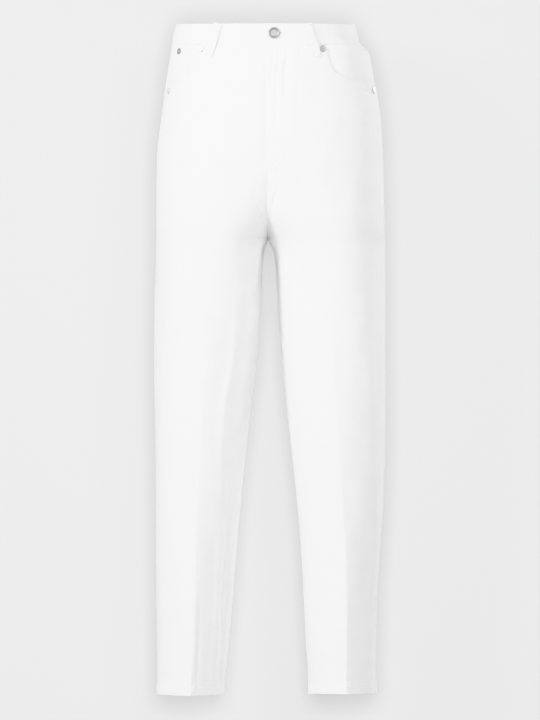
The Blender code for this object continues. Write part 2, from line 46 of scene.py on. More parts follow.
PANELS = [(side, face) for side in SIDE_NAME for face in FACE_NAME]

# Cloth and seams
CLOTH = 1.2
SEAM_GAP = 0.04
BAND_TUCK = 2.5
LAYER_ROOM = 0.75
POCKET_LIFT = 0.8
CROTCH = -325.0

# Top edge of the waistband: its middle height, how far it climbs to the back, and its dip at the sides
TOP_MIDDLE = 0.75
TOP_TILT = 7.25
TOP_DIP = 1.75

# Waistband
BAND_HEIGHT = 30.9
BAND_WALL = 2.2
BAND_LIFT = 0.6
BAND_END = -0.029
BAND_ROW_START = BAND_END + 0.012
BAND_UNDERLAP = 0.135
BAND_SINK_START = 3.80
BAND_SINK_END = 3.93
BAND_COLUMNS = 460

# Turned hem
HEM_HEIGHT = 18.0
HEM_LIFT = 0.4
HEM_EXTRA = 1.0
HEM_FALL = 1.4
HEM_STITCH = HEM_HEIGHT - 1.8
HEM_FLOOR = {LEFT: -1009.1, RIGHT: -1009.6}
HEM_RISE = {LEFT: 3.5, RIGHT: 1.6}
HEM_DROP_BACK = 2.4
HEM_FADE = 60.0
TOP_FADE = 130.0

# Yoke seam on the back
YOKE_MIDDLE = -88.0
YOKE_CLIMB = 30.0

# Soft folds die away this share of a panel's width from its seams
FOLD_MARGIN = 0.12

# Belt loops
LOOP_WIDTH = 13.0
LOOP_WALL = 1.7

# Button and rivets
BUTTON_RADIUS = 8.6
BUTTON_HEIGHT = 3.0
BUTTON_AT = (10.6, -20.6)
RIVET_RADIUS = 4.8
RIVET_HEIGHT = 1.8
CAP_ROOM = 0.4
# The rivets whose nickel is painted paler: a painted highlight that makes them gleam almost white
RIVETS_PAINTED_GLEAM = ("rivet_right_inner", "rivet_right_side", "rivet_left_side")
COIN_RIVET_AT = (-130.0, -45.0)

# Coin pocket on the right facing
COIN_SHARES = (0.545, 0.863)
COIN_TOP = -39.5
COIN_HEIGHT = 62.0
COIN_FLARE = 0.02
COIN_WALL = 1.0

# Back pocket
POCKET_MIDDLE = 0.50
POCKET_DRIFT = 0.015
POCKET_HALF = 0.270
POCKET_TAPER = 0.030
POCKET_TOP = -112.0
POCKET_TILT = 6.0
POCKET_HEIGHT = 128.0
POCKET_POINT = 22.0
POCKET_TURNED = 22.0

# Fly
FLY_LENGTH = 138.0
ZIP_WALL = 1.0
ZIP_REACH = (-0.045, 0.085)
UNDERLAP_REACH = (-0.06, 0.17)

# Pocket facing
FACING_UNDER = 0.05
FACING_FOOT = -110.0
FACING_BEYOND = 0.02
FACING_DIP = 0.2
SIDE_SEAM_REACH = 280.0

# Kinds of stitch: pitch, length, the thread's radius, and the turn from their line
LONG_STITCH = (3.2, 2.75, 0.32, 0.0)
BAR_STITCH = (0.55, 2.6, 0.2, math.pi / 2)
HOLE_STITCH = (0.5, 2.3, 0.2, math.pi / 2)

# Rows of stitching: how far they lie from an edge, and the felled seams under them
ROW_STEP = 4.0
SIDE_ROW = -2.2
BOTH_ROWS = FIRST_ROW, SECOND_ROW = (1.8, 7.8)
FELL_WIDTH = 9.6
FELL_HEIGHT = 0.75


def table(columns, *rows):
    """A short table, as one array for each named column."""
    names = columns.split()
    return {name: np.array([row[i] for row in rows], float) for i, name in enumerate(names)}


# The outline from the front, down the two side seams
OUTLINE = table(
    "height right_side left_side",
    (14, -134, 130),
    (-4, -137, 132.5),
    (-16, -140, 135),
    (-27, -141.5, 136.5),
    (-33, -143, 143),
    (-39, -144, 150),
    (-47, -145.2, 154.3),
    (-62, -147.8, 157.3),
    (-84, -150.8, 161),
    (-114, -155, 167),
    (-144, -159, 170.8),
    (-190, -164.4, 173.8),
    (-235, -166, 175.3),
    (-340, -167, 177.6),
    (-385, -168, 178.2),
    (-446, -169.8, 178.4),
    (-506, -170, 178.4),
    (-566, -169, 178.4),
    (-626, -167.8, 178),
    (-686, -167.4, 176.2),
    (-746, -167.4, 173.4),
    (-807, -167.4, 169.2),
    (-867, -166.9, 165.6),
    (-927, -166, 164.4),
    (-972, -165.7, 164),
    (-1014, -165.5, 165),
)

# The middle seam above the crotch, and the two inseams below it
MIDDLE_SEAM = table(
    "height across",
    (14, 4.5),
    (-4, 4.5),
    (-33, 5.8),
    (-62, 4.1),
    (-114, 2.9),
    (-190, 2.7),
    (-235, 1.6),
    (-298, 0.8),
    (-325, 1.6),
    (-1014, 1.6),
)
INSEAMS = table(
    "height right_seam left_seam",
    (-325, 1.6, 1.6),
    (-331, -1.6, 5.2),
    (-339, -4.4, 9.2),
    (-350, -6, 12.4),
    (-385, -7.6, 15),
    (-446, -10, 18.8),
    (-506, -16.4, 23.4),
    (-566, -24, 29.2),
    (-626, -30.8, 36),
    (-686, -36.9, 42.8),
    (-746, -42.8, 48.6),
    (-807, -47.6, 53.3),
    (-867, -52.7, 56.5),
    (-927, -58, 59.4),
    (-972, -62.4, 62.3),
    (-1014, -66.6, 64.2),
)

# The outline from the side: the front line, the line of the side seam and the back line
PROFILE = table(
    "height front_line side back_line",
    (14, -98, 0, 102),
    (-32, -101, 0, 107),
    (-70, -107, 0, 120),
    (-115, -112, 0, 135),
    (-160, -114, 0, 145),
    (-205, -114, 1, 148),
    (-250, -111, 2, 145),
    (-298, -106, 3, 133),
    (-340, -100, 4, 118),
    (-400, -94, 5, 106),
    (-460, -90, 5, 98),
    (-530, -85, 4, 90),
    (-600, -80, 3, 85),
    (-680, -74, 3, 82),
    (-760, -67, 5, 79),
    (-840, -60, 7, 75),
    (-920, -54, 9, 71),
    (-1014, -49, 11, 67),
)

# How a section is rounded: how far from the middle each leg is deepest, how far it reaches in from there
# above the crotch, how square it is, and how sharp its pressed creases are
SHAPE = table(
    "height left_ridge right_ridge left_reach right_reach fullness front_press back_press",
    (14, 0, 0, 160, 160, 2.34, 0, 0),
    (-40, 0, 0, 160, 160, 2.32, 0, 0),
    (-80, 3.1, 3.1, 158, 156, 2.27, 0, 0),
    (-115, 11.5, 11.1, 153, 149, 2.23, 0, 0),
    (-160, 25.4, 24.5, 146, 141, 2.20, 0, 0),
    (-205, 41.7, 40.3, 136, 129, 2.20, 0, 0),
    (-235, 53, 51.1, 128, 121, 2.19, 0, 0),
    (-255, 61.2, 57.8, 124, 115, 2.19, 0, 0),
    (-280, 71, 65.3, 112, 103, 2.18, 0, 0),
    (-300, 78, 71.6, 98.5, 91, 2.18, 0, 0),
    (-315, 82, 75.4, 88, 81, 2.18, 0, 0),
    (-325, 84.2, 77.9, 84.2, 77.9, 2.18, 0, 0),
    (-340, 87.4, 80.6, 84.2, 77.9, 2.18, 0.01, 0.005),
    (-400, 94.4, 89.4, 84.2, 77.9, 2.20, 0.04, 0.02),
    (-500, 98.6, 93, 84.2, 77.9, 2.26, 0.12, 0.08),
    (-626, 105, 99.1, 84.2, 77.9, 2.30, 0.21, 0.14),
    (-746, 113.1, 106.1, 84.2, 77.9, 2.32, 0.30, 0.20),
    (-867, 117.1, 110, 84.2, 77.9, 2.34, 0.40, 0.28),
    (-927, 116.9, 111.8, 84.2, 77.9, 2.34, 0.45, 0.32),
    (-1014, 117, 117.2, 84.2, 77.9, 2.34, 0.50, 0.36),
)

# The largest soft folds, which the solids have too: side, face, start, middle and end as (share, height),
# then the fold's own height and half width. A negative height is a trough.
FOLDS = (
    (RIGHT, FRONT, (0.06, -206), (0.18, -246), (0.40, -268), -2.2, 20),
    (RIGHT, FRONT, (0.06, -270), (0.15, -325), (0.22, -410), 2.4, 20),
    (LEFT, FRONT, (0.06, -222), (0.16, -256), (0.34, -276), -1.8, 20),
    (LEFT, FRONT, (0.06, -284), (0.14, -340), (0.20, -425), 2.2, 20),
    (RIGHT, BACK, (0.12, -268), (0.38, -296), (0.72, -286), -3.4, 24),
    (LEFT, BACK, (0.10, -262), (0.36, -290), (0.68, -296), -3.4, 24),
    (RIGHT, BACK, (0.14, -330), (0.42, -352), (0.76, -332), 2.4, 24),
    (LEFT, BACK, (0.16, -322), (0.40, -350), (0.72, -345), 2.4, 24),
    (RIGHT, BACK, (0.18, -590), (0.45, -612), (0.80, -596), -2.2, 24),
    (LEFT, BACK, (0.22, -604), (0.50, -618), (0.84, -592), -2.2, 24),
)

# Finer creases: side, face, their line as (across, height), then height and half width
CREASES = (
    # Puckers on the fly, beside its edge and over the zip
    (LEFT, FRONT, ((19, -40), (17.6, -58), (16.2, -68), (14.2, -82), (13.8, -132), (12.6, -196)), -2.6, 2),
    (LEFT, FRONT, ((32.5, -40), (28.8, -62), (26.2, -79), (27.5, -135)), -2.3, 2.4),
    (LEFT, FRONT, ((24.5, -46), (22, -68), (19.8, -90), (20.4, -140)), 1.5, 2.6),
    (LEFT, FRONT, ((10.5, -40), (9, -58), (7.8, -75), (6.8, -100)), -1.9, 1.9),
    (RIGHT, FRONT, ((0.5, -40), (-1.6, -90), (-1.8, -150), (-1.6, -216)), -2, 2.2),
    # The pinch where the band is sewn to the left front
    (LEFT, FRONT, ((22, -39.6), (60, -39.6), (104, -39.8)), -1, 1.8),
    # The crotch: a V of two drags and the shade edge above it
    (LEFT, FRONT, ((20, -248), (12.4, -262), (8.2, -276), (6, -290), (5.4, -306)), -2.2, 2.2),
    (RIGHT, FRONT, ((-26, -262), (-17, -272), (-10.3, -284), (-6.4, -298), (-3.6, -314)), -2.4, 2.4),
    (RIGHT, FRONT, ((-8.5, -214), (-8.8, -240), (-9.5, -270)), 0.6, 4),
    # The right thigh falls back below a soft edge that runs out from the crotch
    (RIGHT, FRONT, ((-7, -228), (-38, -240), (-78, -262)), 1.6, 12),
    (RIGHT, FRONT, ((-34, -372), (-30, -410), (-31, -462)), -1.3, 8),
    # The inner edge of the right thigh stays full, so it turns in late
    (RIGHT, FRONT, ((-11.5, -304), (-12.5, -330), (-14.5, -365), (-17.5, -400)), 2.4, 6.5),
    # Where the front of each leg turns to its inner and outer side
    (RIGHT, FRONT, ((-43, -330), (-46, -446), (-51, -509), (-64, -583), (-68, -654), (-67, -770)), 3.4, 6.6),
    (RIGHT, FRONT, ((-66, -690), (-72, -813), (-74, -862), (-76, -924), (-84, -1016)), 3, 6),
    (RIGHT, FRONT, ((-20, -340), (-30, -446), (-39, -525), (-46, -583), (-52, -654), (-57, -790)), -3.8, 10),
    (RIGHT, FRONT, ((-54, -660), (-60, -790), (-64, -862), (-67, -924), (-74, -1024)), -3.8, 7),
    (LEFT, FRONT, ((154, -420), (153, -508), (156, -545), (162, -600)), 2.8, 13),
    (LEFT, FRONT, ((163, -640), (163, -740), (160, -830), (157, -910), (150, -1000)), 3.4, 13),
    # The sharp groove beside the right leg's pressed crease, and a softer one on the left leg
    (RIGHT, FRONT, ((-99, -850), (-102.6, -940), (-105.5, -1016)), -1.9, 2.6),
    (LEFT, FRONT, ((116.5, -880), (117, -940), (117.5, -988)), -0.7, 3.4),
    (LEFT, FRONT, ((104, -880), (106, -940), (107, -1012)), 0.9, 7),
    # Drags in the seat, under the back pockets and behind the knees
    (RIGHT, BACK, ((-22, -250), (-46, -276), (-84, -292)), -2, 9),
    (RIGHT, BACK, ((-12, -300), (-44, -318), (-92, -318)), 1.8, 9),
    (LEFT, BACK, ((20, -244), (50, -270), (98, -284)), -2.2, 9),
    (LEFT, BACK, ((12, -306), (52, -322), (104, -330)), 1.7, 10),
    (RIGHT, BACK, ((-40, -366), (-62, -420), (-74, -500)), 1.4, 10),
    (LEFT, BACK, ((40, -372), (66, -430), (76, -520)), 1.5, 11),
    (RIGHT, BACK, ((-50, -566), (-86, -588), (-136, -578)), 1.7, 8),
    (RIGHT, BACK, ((-58, -640), (-92, -650), (-130, -636)), -1.5, 8),
    (LEFT, BACK, ((52, -578), (92, -600), (150, -584)), 1.6, 8),
    (LEFT, BACK, ((60, -648), (100, -662), (142, -646)), -1.6, 9),
)

# The outer row of the fly's stitching, as (across, height). The cloth inside it is thicker.
FLY_STITCH = (
    (46.6, -37),
    (46.2, -60),
    (45.4, -83),
    (43.2, -106),
    (41.8, -132),
    (41.4, -158),
    (39.4, -174),
    (35, -186),
    (29.6, -196),
    (23.6, -208),
    (17.2, -218),
    (10.5, -224.5),
    (4.6, -227.5),
)
FLY_RAISE = 0.85
FLY_ROWS = (1.6, 7.6)
FLY_FOOT = -230.0

# Scoop of a front pocket, from the waistband seam to the side seam: how far it has run and dropped
SCOOP = table(
    "run drop",
    (0.000, 0.000),
    (0.010, 0.140),
    (0.031, 0.380),
    (0.060, 0.560),
    (0.100, 0.680),
    (0.160, 0.770),
    (0.250, 0.845),
    (0.360, 0.905),
    (0.480, 0.940),
    (0.600, 0.962),
    (0.730, 0.980),
    (0.870, 0.992),
    (1.000, 1.000),
)
SCOOP_START = {LEFT: 0.334, RIGHT: 0.466}
SCOOP_FOOT = -96.0
SCOOP_TURNED = 10.0
SCOOP_RAISE = 0.5
BEFORE_SCOOP = 0.36

# Columns and rows of the fine grids: (from, to, steps), closer at seams, creases and stitching
FRONT_COLUMNS = (
    (0.0, 0.004, 2), (0.004, 0.02, 4), (0.02, 0.17, 24), (0.17, 0.45, 16), (0.45, 0.60, 18),
    (0.60, 0.96, 24), (0.96, 0.996, 6), (0.996, 1.0, 2),
)
BACK_COLUMNS = (
    (0.0, 0.004, 2), (0.004, 0.05, 10), (0.05, 0.44, 20), (0.44, 0.58, 12), (0.58, 0.95, 20),
    (0.95, 0.996, 7), (0.996, 1.0, 2),
)
FRONT_ROWS = (
    (-37, -38.2, 3), (-38.2, -50, 11), (-50, -167, 62), (-167, -350, 74), (-350, -880, 84),
    (-880, -984, 24), (-984, -1008.2, 24), (-1008.2, -1009.3, 3),
)
BACK_ROWS = (
    (-88, -89.2, 3), (-89.2, -100, 8), (-100, -350, 76), (-350, -880, 84),
    (-880, -984, 24), (-984, -1008.2, 24), (-1008.2, -1009.3, 3),
)
EDGE_ROUND = 0.9


def curve_through(heights, values):
    """A smooth curve through a table's column that doesn't swing past its rows."""
    h = heights[::-1]
    v = values[::-1]
    steps = np.diff(h)
    slopes = np.diff(v) / steps
    tangents = np.zeros(len(h))
    tangents[0] = slopes[0]
    tangents[-1] = slopes[-1]
    for i in range(1, len(h) - 1):
        if slopes[i - 1] * slopes[i] > 0:
            tangents[i] = 2 * slopes[i - 1] * slopes[i] / (slopes[i - 1] + slopes[i])

    def value(height):
        inside = np.clip(height, h[0], h[-1])
        i = np.clip(np.searchsorted(h, inside) - 1, 0, len(h) - 2)
        t = (inside - h[i]) / steps[i]
        start = (1 + 2 * t) * (1 - t) ** 2 * v[i] + t * (1 - t) ** 2 * steps[i] * tangents[i]
        end = t * t * (3 - 2 * t) * v[i + 1] + t * t * (t - 1) * steps[i] * tangents[i + 1]
        return start + end

    return value


def soft_step(t):
    """0 below 0, 1 above 1, and a smooth rise between."""
    t = np.clip(t, 0, 1)
    return t * t * (3 - 2 * t)


def column(of, name):
    """One column of a table, as a smooth curve of the height."""
    return curve_through(of["height"], of[name])


def columns(of, words, kind):
    """A curve for each side or face, from the columns named after them."""
    return {key: column(of, f"{word}_{kind}") for key, word in words.items()}


SIDE_EDGE = columns(OUTLINE, SIDE_NAME, "side")
SEAM_LINE = column(MIDDLE_SEAM, "across")
INSEAM_LINE = columns(INSEAMS, SIDE_NAME, "seam")
FACE_LINE = columns(PROFILE, FACE_NAME, "line")
SIDE_LINE = column(PROFILE, "side")
RIDGE = columns(SHAPE, SIDE_NAME, "ridge")
INNER_REACH = columns(SHAPE, SIDE_NAME, "reach")
FULLNESS = column(SHAPE, "fullness")
PRESS = columns(SHAPE, FACE_NAME, "press")


def start_angle(side, z):
    """The angle of a section's inner end: half a turn on a leg, a quarter turn at the waist."""
    cut = np.clip(RIDGE[side](z) / INNER_REACH[side](z), 0, 1) ** (FULLNESS(z) / 2)
    return np.where(z > CROTCH, np.arccos(-cut), math.pi)


def bare_point(side, face, angle, z, gap):
    """A point on the outer face of the cloth before any fold, at an angle round one section."""
    inset = side * gap / 2
    centre = SEAM_LINE(z) + side * RIDGE[side](z) + inset
    outer_reach = SIDE_EDGE[side](z) - centre
    inner_reach = np.where(z > CROTCH, side * INNER_REACH[side](z), centre - INSEAM_LINE[side](z) - inset)
    power = 2 / FULLNESS(z)
    cosine = np.cos(angle)
    sine = np.sin(angle)
    across = np.sign(cosine) * np.abs(cosine) ** power
    away = np.sign(sine) * np.abs(sine) ** power
    press = PRESS[face](z)
    tent = np.sign(sine) * (1 - np.abs(across))
    x = centre + np.where(across < 0, inner_reach, outer_reach) * across
    depth = np.abs(FACE_LINE[face](z) - SIDE_LINE(z))
    y = SIDE_LINE(z) + face * depth * ((1 - press) * away + press * tent)
    return np.stack([x, y, z + 0 * x], axis=-1)


def outward(side, face, angle, z, gap):
    """The direction square to the cloth, pointing out of the garment."""
    turn = 0.02
    rise = 1.0
    along = bare_point(side, face, angle + turn, z, gap) - bare_point(side, face, angle - turn, z, gap)
    up = bare_point(side, face, angle, z + rise, gap) - bare_point(side, face, angle, z - rise, gap)
    normal = np.cross(along, up)
    normal /= np.linalg.norm(normal, axis=-1, keepdims=True)
    facing = normal[..., 0] * side * np.cos(angle) + normal[..., 1] * face * np.sin(angle)
    return normal * np.where(facing < 0, -1.0, 1.0)[..., None]


def bare(side, face, share, z, gap=0.0):
    """A point of the cloth before any fold, at a share of its panel and a height."""
    return bare_point(side, face, start_angle(side, z) * (1 - share), z, gap)


def share_at(side, face, x, z):
    """The share at which a panel lies at this distance from the middle plane."""
    shares = np.linspace(0, 1, 401)
    xs = bare(side, face, shares, np.full(401, z))[:, 0]
    return float(np.interp(x * side, xs * side, shares))


def shares_at(side, face, spots):
    """The shares of a panel at places given as (across, height)."""
    return np.array([share_at(side, face, x, z) for x, z in spots])


def line_through(spots, count):
    """A smooth line of points through given ones."""
    spots = np.array(spots, float)
    way = np.arange(len(spots))
    t = np.linspace(0, len(spots) - 1, count)
    ends = np.vstack([2 * spots[0] - spots[1], spots, 2 * spots[-1] - spots[-2]])
    i = np.clip(t.astype(int), 0, len(spots) - 2)
    u = (t - way[i])[:, None]
    a, b, c, d = ends[i], ends[i + 1], ends[i + 2], ends[i + 3]
    return 0.5 * (2 * b + (c - a) * u + (2 * a - 5 * b + 4 * c - d) * u ** 2 + (3 * b - a - 3 * c + d) * u ** 3)


def nearness(points, line, half_width):
    """How near points are to a line, from 0 to 1, dying away at the line's ends."""
    reach = 3.0 * half_width
    low = line.min(axis=0) - reach
    high = line.max(axis=0) + reach
    flat = points.reshape(-1, 3)
    close = np.all((flat > low) & (flat < high), axis=1)
    result = np.zeros(len(flat))
    if close.any():
        t = np.linspace(0, 1, len(line))
        fade = np.sin(math.pi * (0.1 + 0.8 * t)) ** 2
        for chunk in np.array_split(np.nonzero(close)[0], 1 + close.sum() // 4000):
            away = np.linalg.norm(flat[chunk][:, None, :] - line, axis=-1)
            result[chunk] = np.max(fade * np.exp(-(away / half_width) ** 2), axis=-1)
    return result.reshape(points.shape[:-1])


def crease_lines():
    """Every fold and crease as a line of points in space, by side and face."""
    lines = {panel: [] for panel in PANELS}
    for side, face, start, middle, end, height, half_width in FOLDS:
        t = np.linspace(0, 1, 9)
        share, level = (
            (1 - t) ** 2 * a + 2 * t * (1 - t) * b + t * t * c for a, b, c in zip(start, middle, end)
        )
        lines[side, face].append((bare(side, face, share, level), height, half_width, True))
    for side, face, spots, height, half_width in CREASES:
        length = sum(math.dist(a, b) for a, b in zip(spots, spots[1:]))
        flat = line_through(spots, 4 + int(length / half_width * 1.5))
        line = bare(side, face, shares_at(side, face, flat), flat[:, 1])
        lines[side, face].append((line, height, half_width, False))
    return lines


CREASE_LINES = crease_lines()

# Slow waves that keep the cloth from looking moulded: across and down wavelengths, height and phase
WAVES = (
    (92.0, 410.0, 0.42, 0.3),
    (61.0, -270.0, 0.30, 1.9),
    (39.0, 180.0, 0.16, 4.1),
    (27.0, -120.0, 0.09, 2.6),
)


def relief(side, face, share, points):
    """How far folds, creases and slow waves move these points of one panel out."""
    near_seam = soft_step(np.minimum(share, 1 - share) / FOLD_MARGIN)
    total = np.zeros(points.shape[:-1])
    for line, height, half_width, fades in CREASE_LINES[side, face]:
        total += height * nearness(points, line, half_width) * (near_seam if fades else 1.0)
    x, z = points[..., 0], points[..., 2]
    for across, down, height, phase in WAVES:
        wave = np.sin(2 * math.pi * (x / across + z / down) + phase + side * 0.9 + face * 1.7)
        total += height * wave * near_seam
    return total


def cloth(side, face, share, z, lift=0.0, gap=SEAM_GAP):
    """Points of the cloth, moved out by lift. The share runs from the inner edge (0) to the side seam (1)."""
    share, z, lift = np.broadcast_arrays(np.asarray(share, float), np.asarray(z, float), lift)
    angle = start_angle(side, z) * (1 - share)
    points = bare_point(side, face, angle, z, gap)
    normals = outward(side, face, angle, z, gap)
    return points + normals * (lift + relief(side, face, share, points))[..., None], normals


ARC_HEIGHTS = np.linspace(14, -1014, 130)
ARC_SHARES = np.linspace(0, 1, 161)


def arc_table(side, face):
    """Lengths along the cloth from the inner edge, for a range of heights and shares."""
    share, z = np.meshgrid(ARC_SHARES, ARC_HEIGHTS)
    steps = np.linalg.norm(np.diff(bare(side, face, share, z), axis=1), axis=-1)
    return np.hstack([np.zeros((len(ARC_HEIGHTS), 1)), np.cumsum(steps, axis=1)])


ARCS = {panel: arc_table(*panel) for panel in PANELS}


def arc_of(side, face, share, z):
    """Length along the cloth from the inner edge to a share, at a height."""
    arcs = ARCS[side, face]
    row = np.clip((ARC_HEIGHTS[0] - z) / (ARC_HEIGHTS[0] - ARC_HEIGHTS[1]), 0, len(ARC_HEIGHTS) - 1.001)
    column = np.clip(share, 0, 1) * (len(ARC_SHARES) - 1.001)
    i, j = row.astype(int), column.astype(int)
    u, v = row - i, column - j
    above = arcs[i, j] * (1 - v) + arcs[i, j + 1] * v
    below = arcs[i + 1, j] * (1 - v) + arcs[i + 1, j + 1] * v
    return above * (1 - u) + below * u


def share_for_arc(side, face, arc, z):
    """The share at a length along the cloth from the inner edge. A negative length counts from the side seam."""
    found = []
    for length, height in np.broadcast(arc, z):
        span = arc_of(side, face, ARC_SHARES, np.full(len(ARC_SHARES), height))
        target = length if length >= 0 else span[-1] + length
        found.append(np.interp(target, span, ARC_SHARES))
    return np.array(found)


def quarter_of(turn):
    """The side, the face and the share of a turn round the waist."""
    turn = turn % 4
    if turn < 1:
        return LEFT, FRONT, turn
    if turn < 2:
        return LEFT, BACK, 2 - turn
    if turn < 3:
        return RIGHT, BACK, turn - 2
    return RIGHT, FRONT, 4 - turn


def top_edge(face, share):
    """Height of the waistband's top edge."""
    bearing = np.asarray(share, float) * math.pi / 2
    toward_front = np.cos(bearing) * -face
    return TOP_MIDDLE - TOP_TILT * toward_front - TOP_DIP * np.sin(bearing) ** 2


def band_seam(face, share):
    """Height of the seam under the waistband."""
    return top_edge(face, share) - BAND_HEIGHT


def hem_edge(side, face, share):
    """Height of the hem, which lifts over the front crease and drops at the back."""
    bulge = np.sin(math.pi * np.asarray(share, float))
    return HEM_FLOOR[side] + (HEM_RISE[side] if face == FRONT else -HEM_DROP_BACK) * bulge


def yoke_seam(share):
    """Height of the slanted seam between the yoke and the back."""
    return YOKE_MIDDLE + YOKE_CLIMB * np.asarray(share, float)


def edge_share(side, face, z):
    """Half a seam gap, as a share of the way round a section."""
    depth = np.abs(FACE_LINE[face](z) - SIDE_LINE(z))
    return SEAM_GAP / 2 / (start_angle(side, z) * depth)


def spaced(steps):
    """Positions of rows or columns, from a short list of (from, to, steps)."""
    spots = [steps[0][0]]
    for start, end, count in steps:
        spots += list(np.linspace(start, end, count + 1)[1:])
    return np.array(spots, float)


def rounded(distance):
    """How far a cloth's face has turned in at this distance from its edge."""
    t = np.clip(1 - np.asarray(distance) / EDGE_ROUND, 0, 1)
    return EDGE_ROUND * (1 - np.sqrt(1 - t * t)) * 0.5


def layered(distance, reach, fall=1.6):
    """1 where the cloth is doubled, up to a reach from its edge, falling to 0 past it."""
    return 1 - soft_step((distance - reach) / fall)


def dents(distance, rows=BOTH_ROWS, depth=0.25, half=0.8):
    """How far rows of stitching pull the cloth in, at a distance from its edge."""
    return -depth * sum(np.exp(-((distance - row) / half) ** 2) for row in rows)


def placed(name, data):
    """A new object in the scene."""
    made = bpy.data.objects.new(name, data)
    bpy.context.collection.objects.link(made)
    return made


def grid_distances(points):
    """Distance of each point of a grid from its left, right, top and bottom edges, along the grid."""
    across = np.linalg.norm(np.diff(points, axis=1), axis=-1)
    down = np.linalg.norm(np.diff(points, axis=0), axis=-1)
    left = np.hstack([np.zeros((points.shape[0], 1)), np.cumsum(across, axis=1)])
    top = np.vstack([np.zeros((1, points.shape[1])), np.cumsum(down, axis=0)])
    return left, left[:, -1:] - left, top, top[-1:, :] - top


def build_mesh(name, vertices, faces, material, uv=None, smooth_angle=50):
    """A named object at the origin from points in millimetres."""
    mesh = bpy.data.meshes.new(name)
    mesh.from_pydata((np.asarray(vertices, float) * MM).tolist(), [], [tuple(f) for f in faces])
    mesh.materials.append(material)
    mesh.shade_smooth()
    mesh.set_sharp_from_angle(angle=math.radians(smooth_angle))
    if uv is not None:
        layer = mesh.uv_layers.new(name="cloth")
        corners = np.zeros(len(mesh.loops), int)
        mesh.loops.foreach_get("vertex_index", corners)
        layer.data.foreach_set("uv", (np.asarray(uv, float) * MM)[corners].ravel())
    return placed(name, mesh)


def wall(name, outer, inner, uv, material, flip):
    """A closed wall between two grids of points, with a rim all round."""
    rows, columns = outer.shape[:2]
    count = rows * columns
    a = (np.arange(rows - 1)[:, None] * columns + np.arange(columns - 1)[None, :]).ravel()
    front = np.stack([a, a + columns, a + columns + 1, a + 1], axis=1)
    back = count + np.stack([a, a + 1, a + columns + 1, a + columns], axis=1)
    rim = list(range(columns - 1))
    rim += [i * columns + columns - 1 for i in range(rows - 1)]
    rim += [(rows - 1) * columns + j for j in range(columns - 1, 0, -1)]
    rim += [i * columns for i in range(rows - 1, 0, -1)]
    rim = np.array(rim)
    after = np.roll(rim, -1)
    sides = np.stack([rim, after, count + after, count + rim], axis=1)
    faces = np.vstack([front, back, sides])
    if flip:
        faces = faces[:, ::-1]
    vertices = np.vstack([outer.reshape(-1, 3), inner.reshape(-1, 3)])
    flat = uv.reshape(-1, 2)
    return build_mesh(name, vertices, faces.tolist(), material, np.vstack([flat, flat]), 60)


def rounded_wall(name, outer, normals, thickness, uv, material, flip, edges="lrtb"):
    """A wall of cloth whose edges are rounded over."""
    left, right, top, bottom = grid_distances(outer)
    turned = np.zeros(outer.shape[:2])
    for letter, distance in zip("lrtb", (left, right, top, bottom)):
        if letter in edges:
            turned = np.maximum(turned, rounded(distance))
    thickness = np.broadcast_to(thickness, turned.shape)
    turned = np.minimum(turned, thickness * 0.42)
    inner = outer - normals * (thickness - turned)[..., None]
    return wall(name, outer - normals * turned[..., None], inner, uv, material, flip)


def scoop_curves():
    """The scoop's run and drop as smooth curves of the way along it."""
    way = np.linspace(0, 1, len(SCOOP["run"]))
    return curve_through(way[::-1], SCOOP["run"][::-1]), curve_through(way[::-1], SCOOP["drop"][::-1])


SCOOP_RUN, SCOOP_DROP = scoop_curves()


def scoop_line(side, way):
    """Share and height of a front pocket's opening, a way along it."""
    start = SCOOP_START[side]
    corner = band_seam(FRONT, start) + BAND_TUCK
    return start + (1 - start) * SCOOP_RUN(way), corner + (SCOOP_FOOT - corner) * SCOOP_DROP(way)


def scoop_points(side):
    """The scoop's edge as a line of points on the cloth."""
    share, z = scoop_line(side, np.linspace(0, 1, 160))
    return bare(side, FRONT, share, z, SEAM_GAP)


SCOOP_EDGE = {side: scoop_points(side) for side in SIDE_NAME}


def panel_grid(side, face, levels, columns, top_share, top_z):
    """Shares and heights of a leg panel, whose rows follow its top edge and its hem."""
    levels = levels + (HEM_FLOOR[side] - levels[-1]) * (levels < -900)
    level = levels[:, None]
    to_top = np.clip(1 - (levels[0] - level) / TOP_FADE, 0, 1)
    to_hem = np.clip(1 - (level - HEM_FLOOR[side]) / HEM_FADE, 0, 1)
    inset = edge_share(side, face, level)
    share = inset + (columns + (top_share - columns) * to_top) * (1 - 2 * inset)
    z = level + (top_z - levels[0]) * to_top
    return share, z + (hem_edge(side, face, share) - HEM_FLOOR[side]) * to_hem


def fly_edge_at(z):
    """Distance of the fly's outer stitching from the middle plane, at a height."""
    line = line_through(FLY_STITCH, 120)
    return np.interp(-z, -line[:, 1], line[:, 0])


def seam_ripple(side, face, share, z, phase):
    """Small puckers beside a side seam."""
    distance = arc_of(side, face, 1.0 + 0 * share, z) - arc_of(side, face, share, z)
    pucker = np.sin(z / 1.75 + phase) + 0.6 * np.sin(z / 3.1 + 2 * phase + 0.7)
    return 0.13 * pucker * np.exp(-(distance / 6.0) ** 2)


def hem_relief(side, face, share, z, arc):
    """The doubled hem: a step at its stitching, slanting puckers and a slight flare."""
    up = z - hem_edge(side, face, share)
    pucker = np.sin((arc + 0.55 * up) / 1.9 + 3 * face + side) + 0.7 * np.sin((arc - 0.2 * up) / 3.4 + side)
    flare = 0.9 * soft_step(1 - up / 20.0)
    in_hem = layered(up, HEM_HEIGHT, HEM_FALL)
    return in_hem * (HEM_LIFT + 0.17 * pucker) + flare + dents(up, (HEM_STITCH,), 0.35, 0.9)


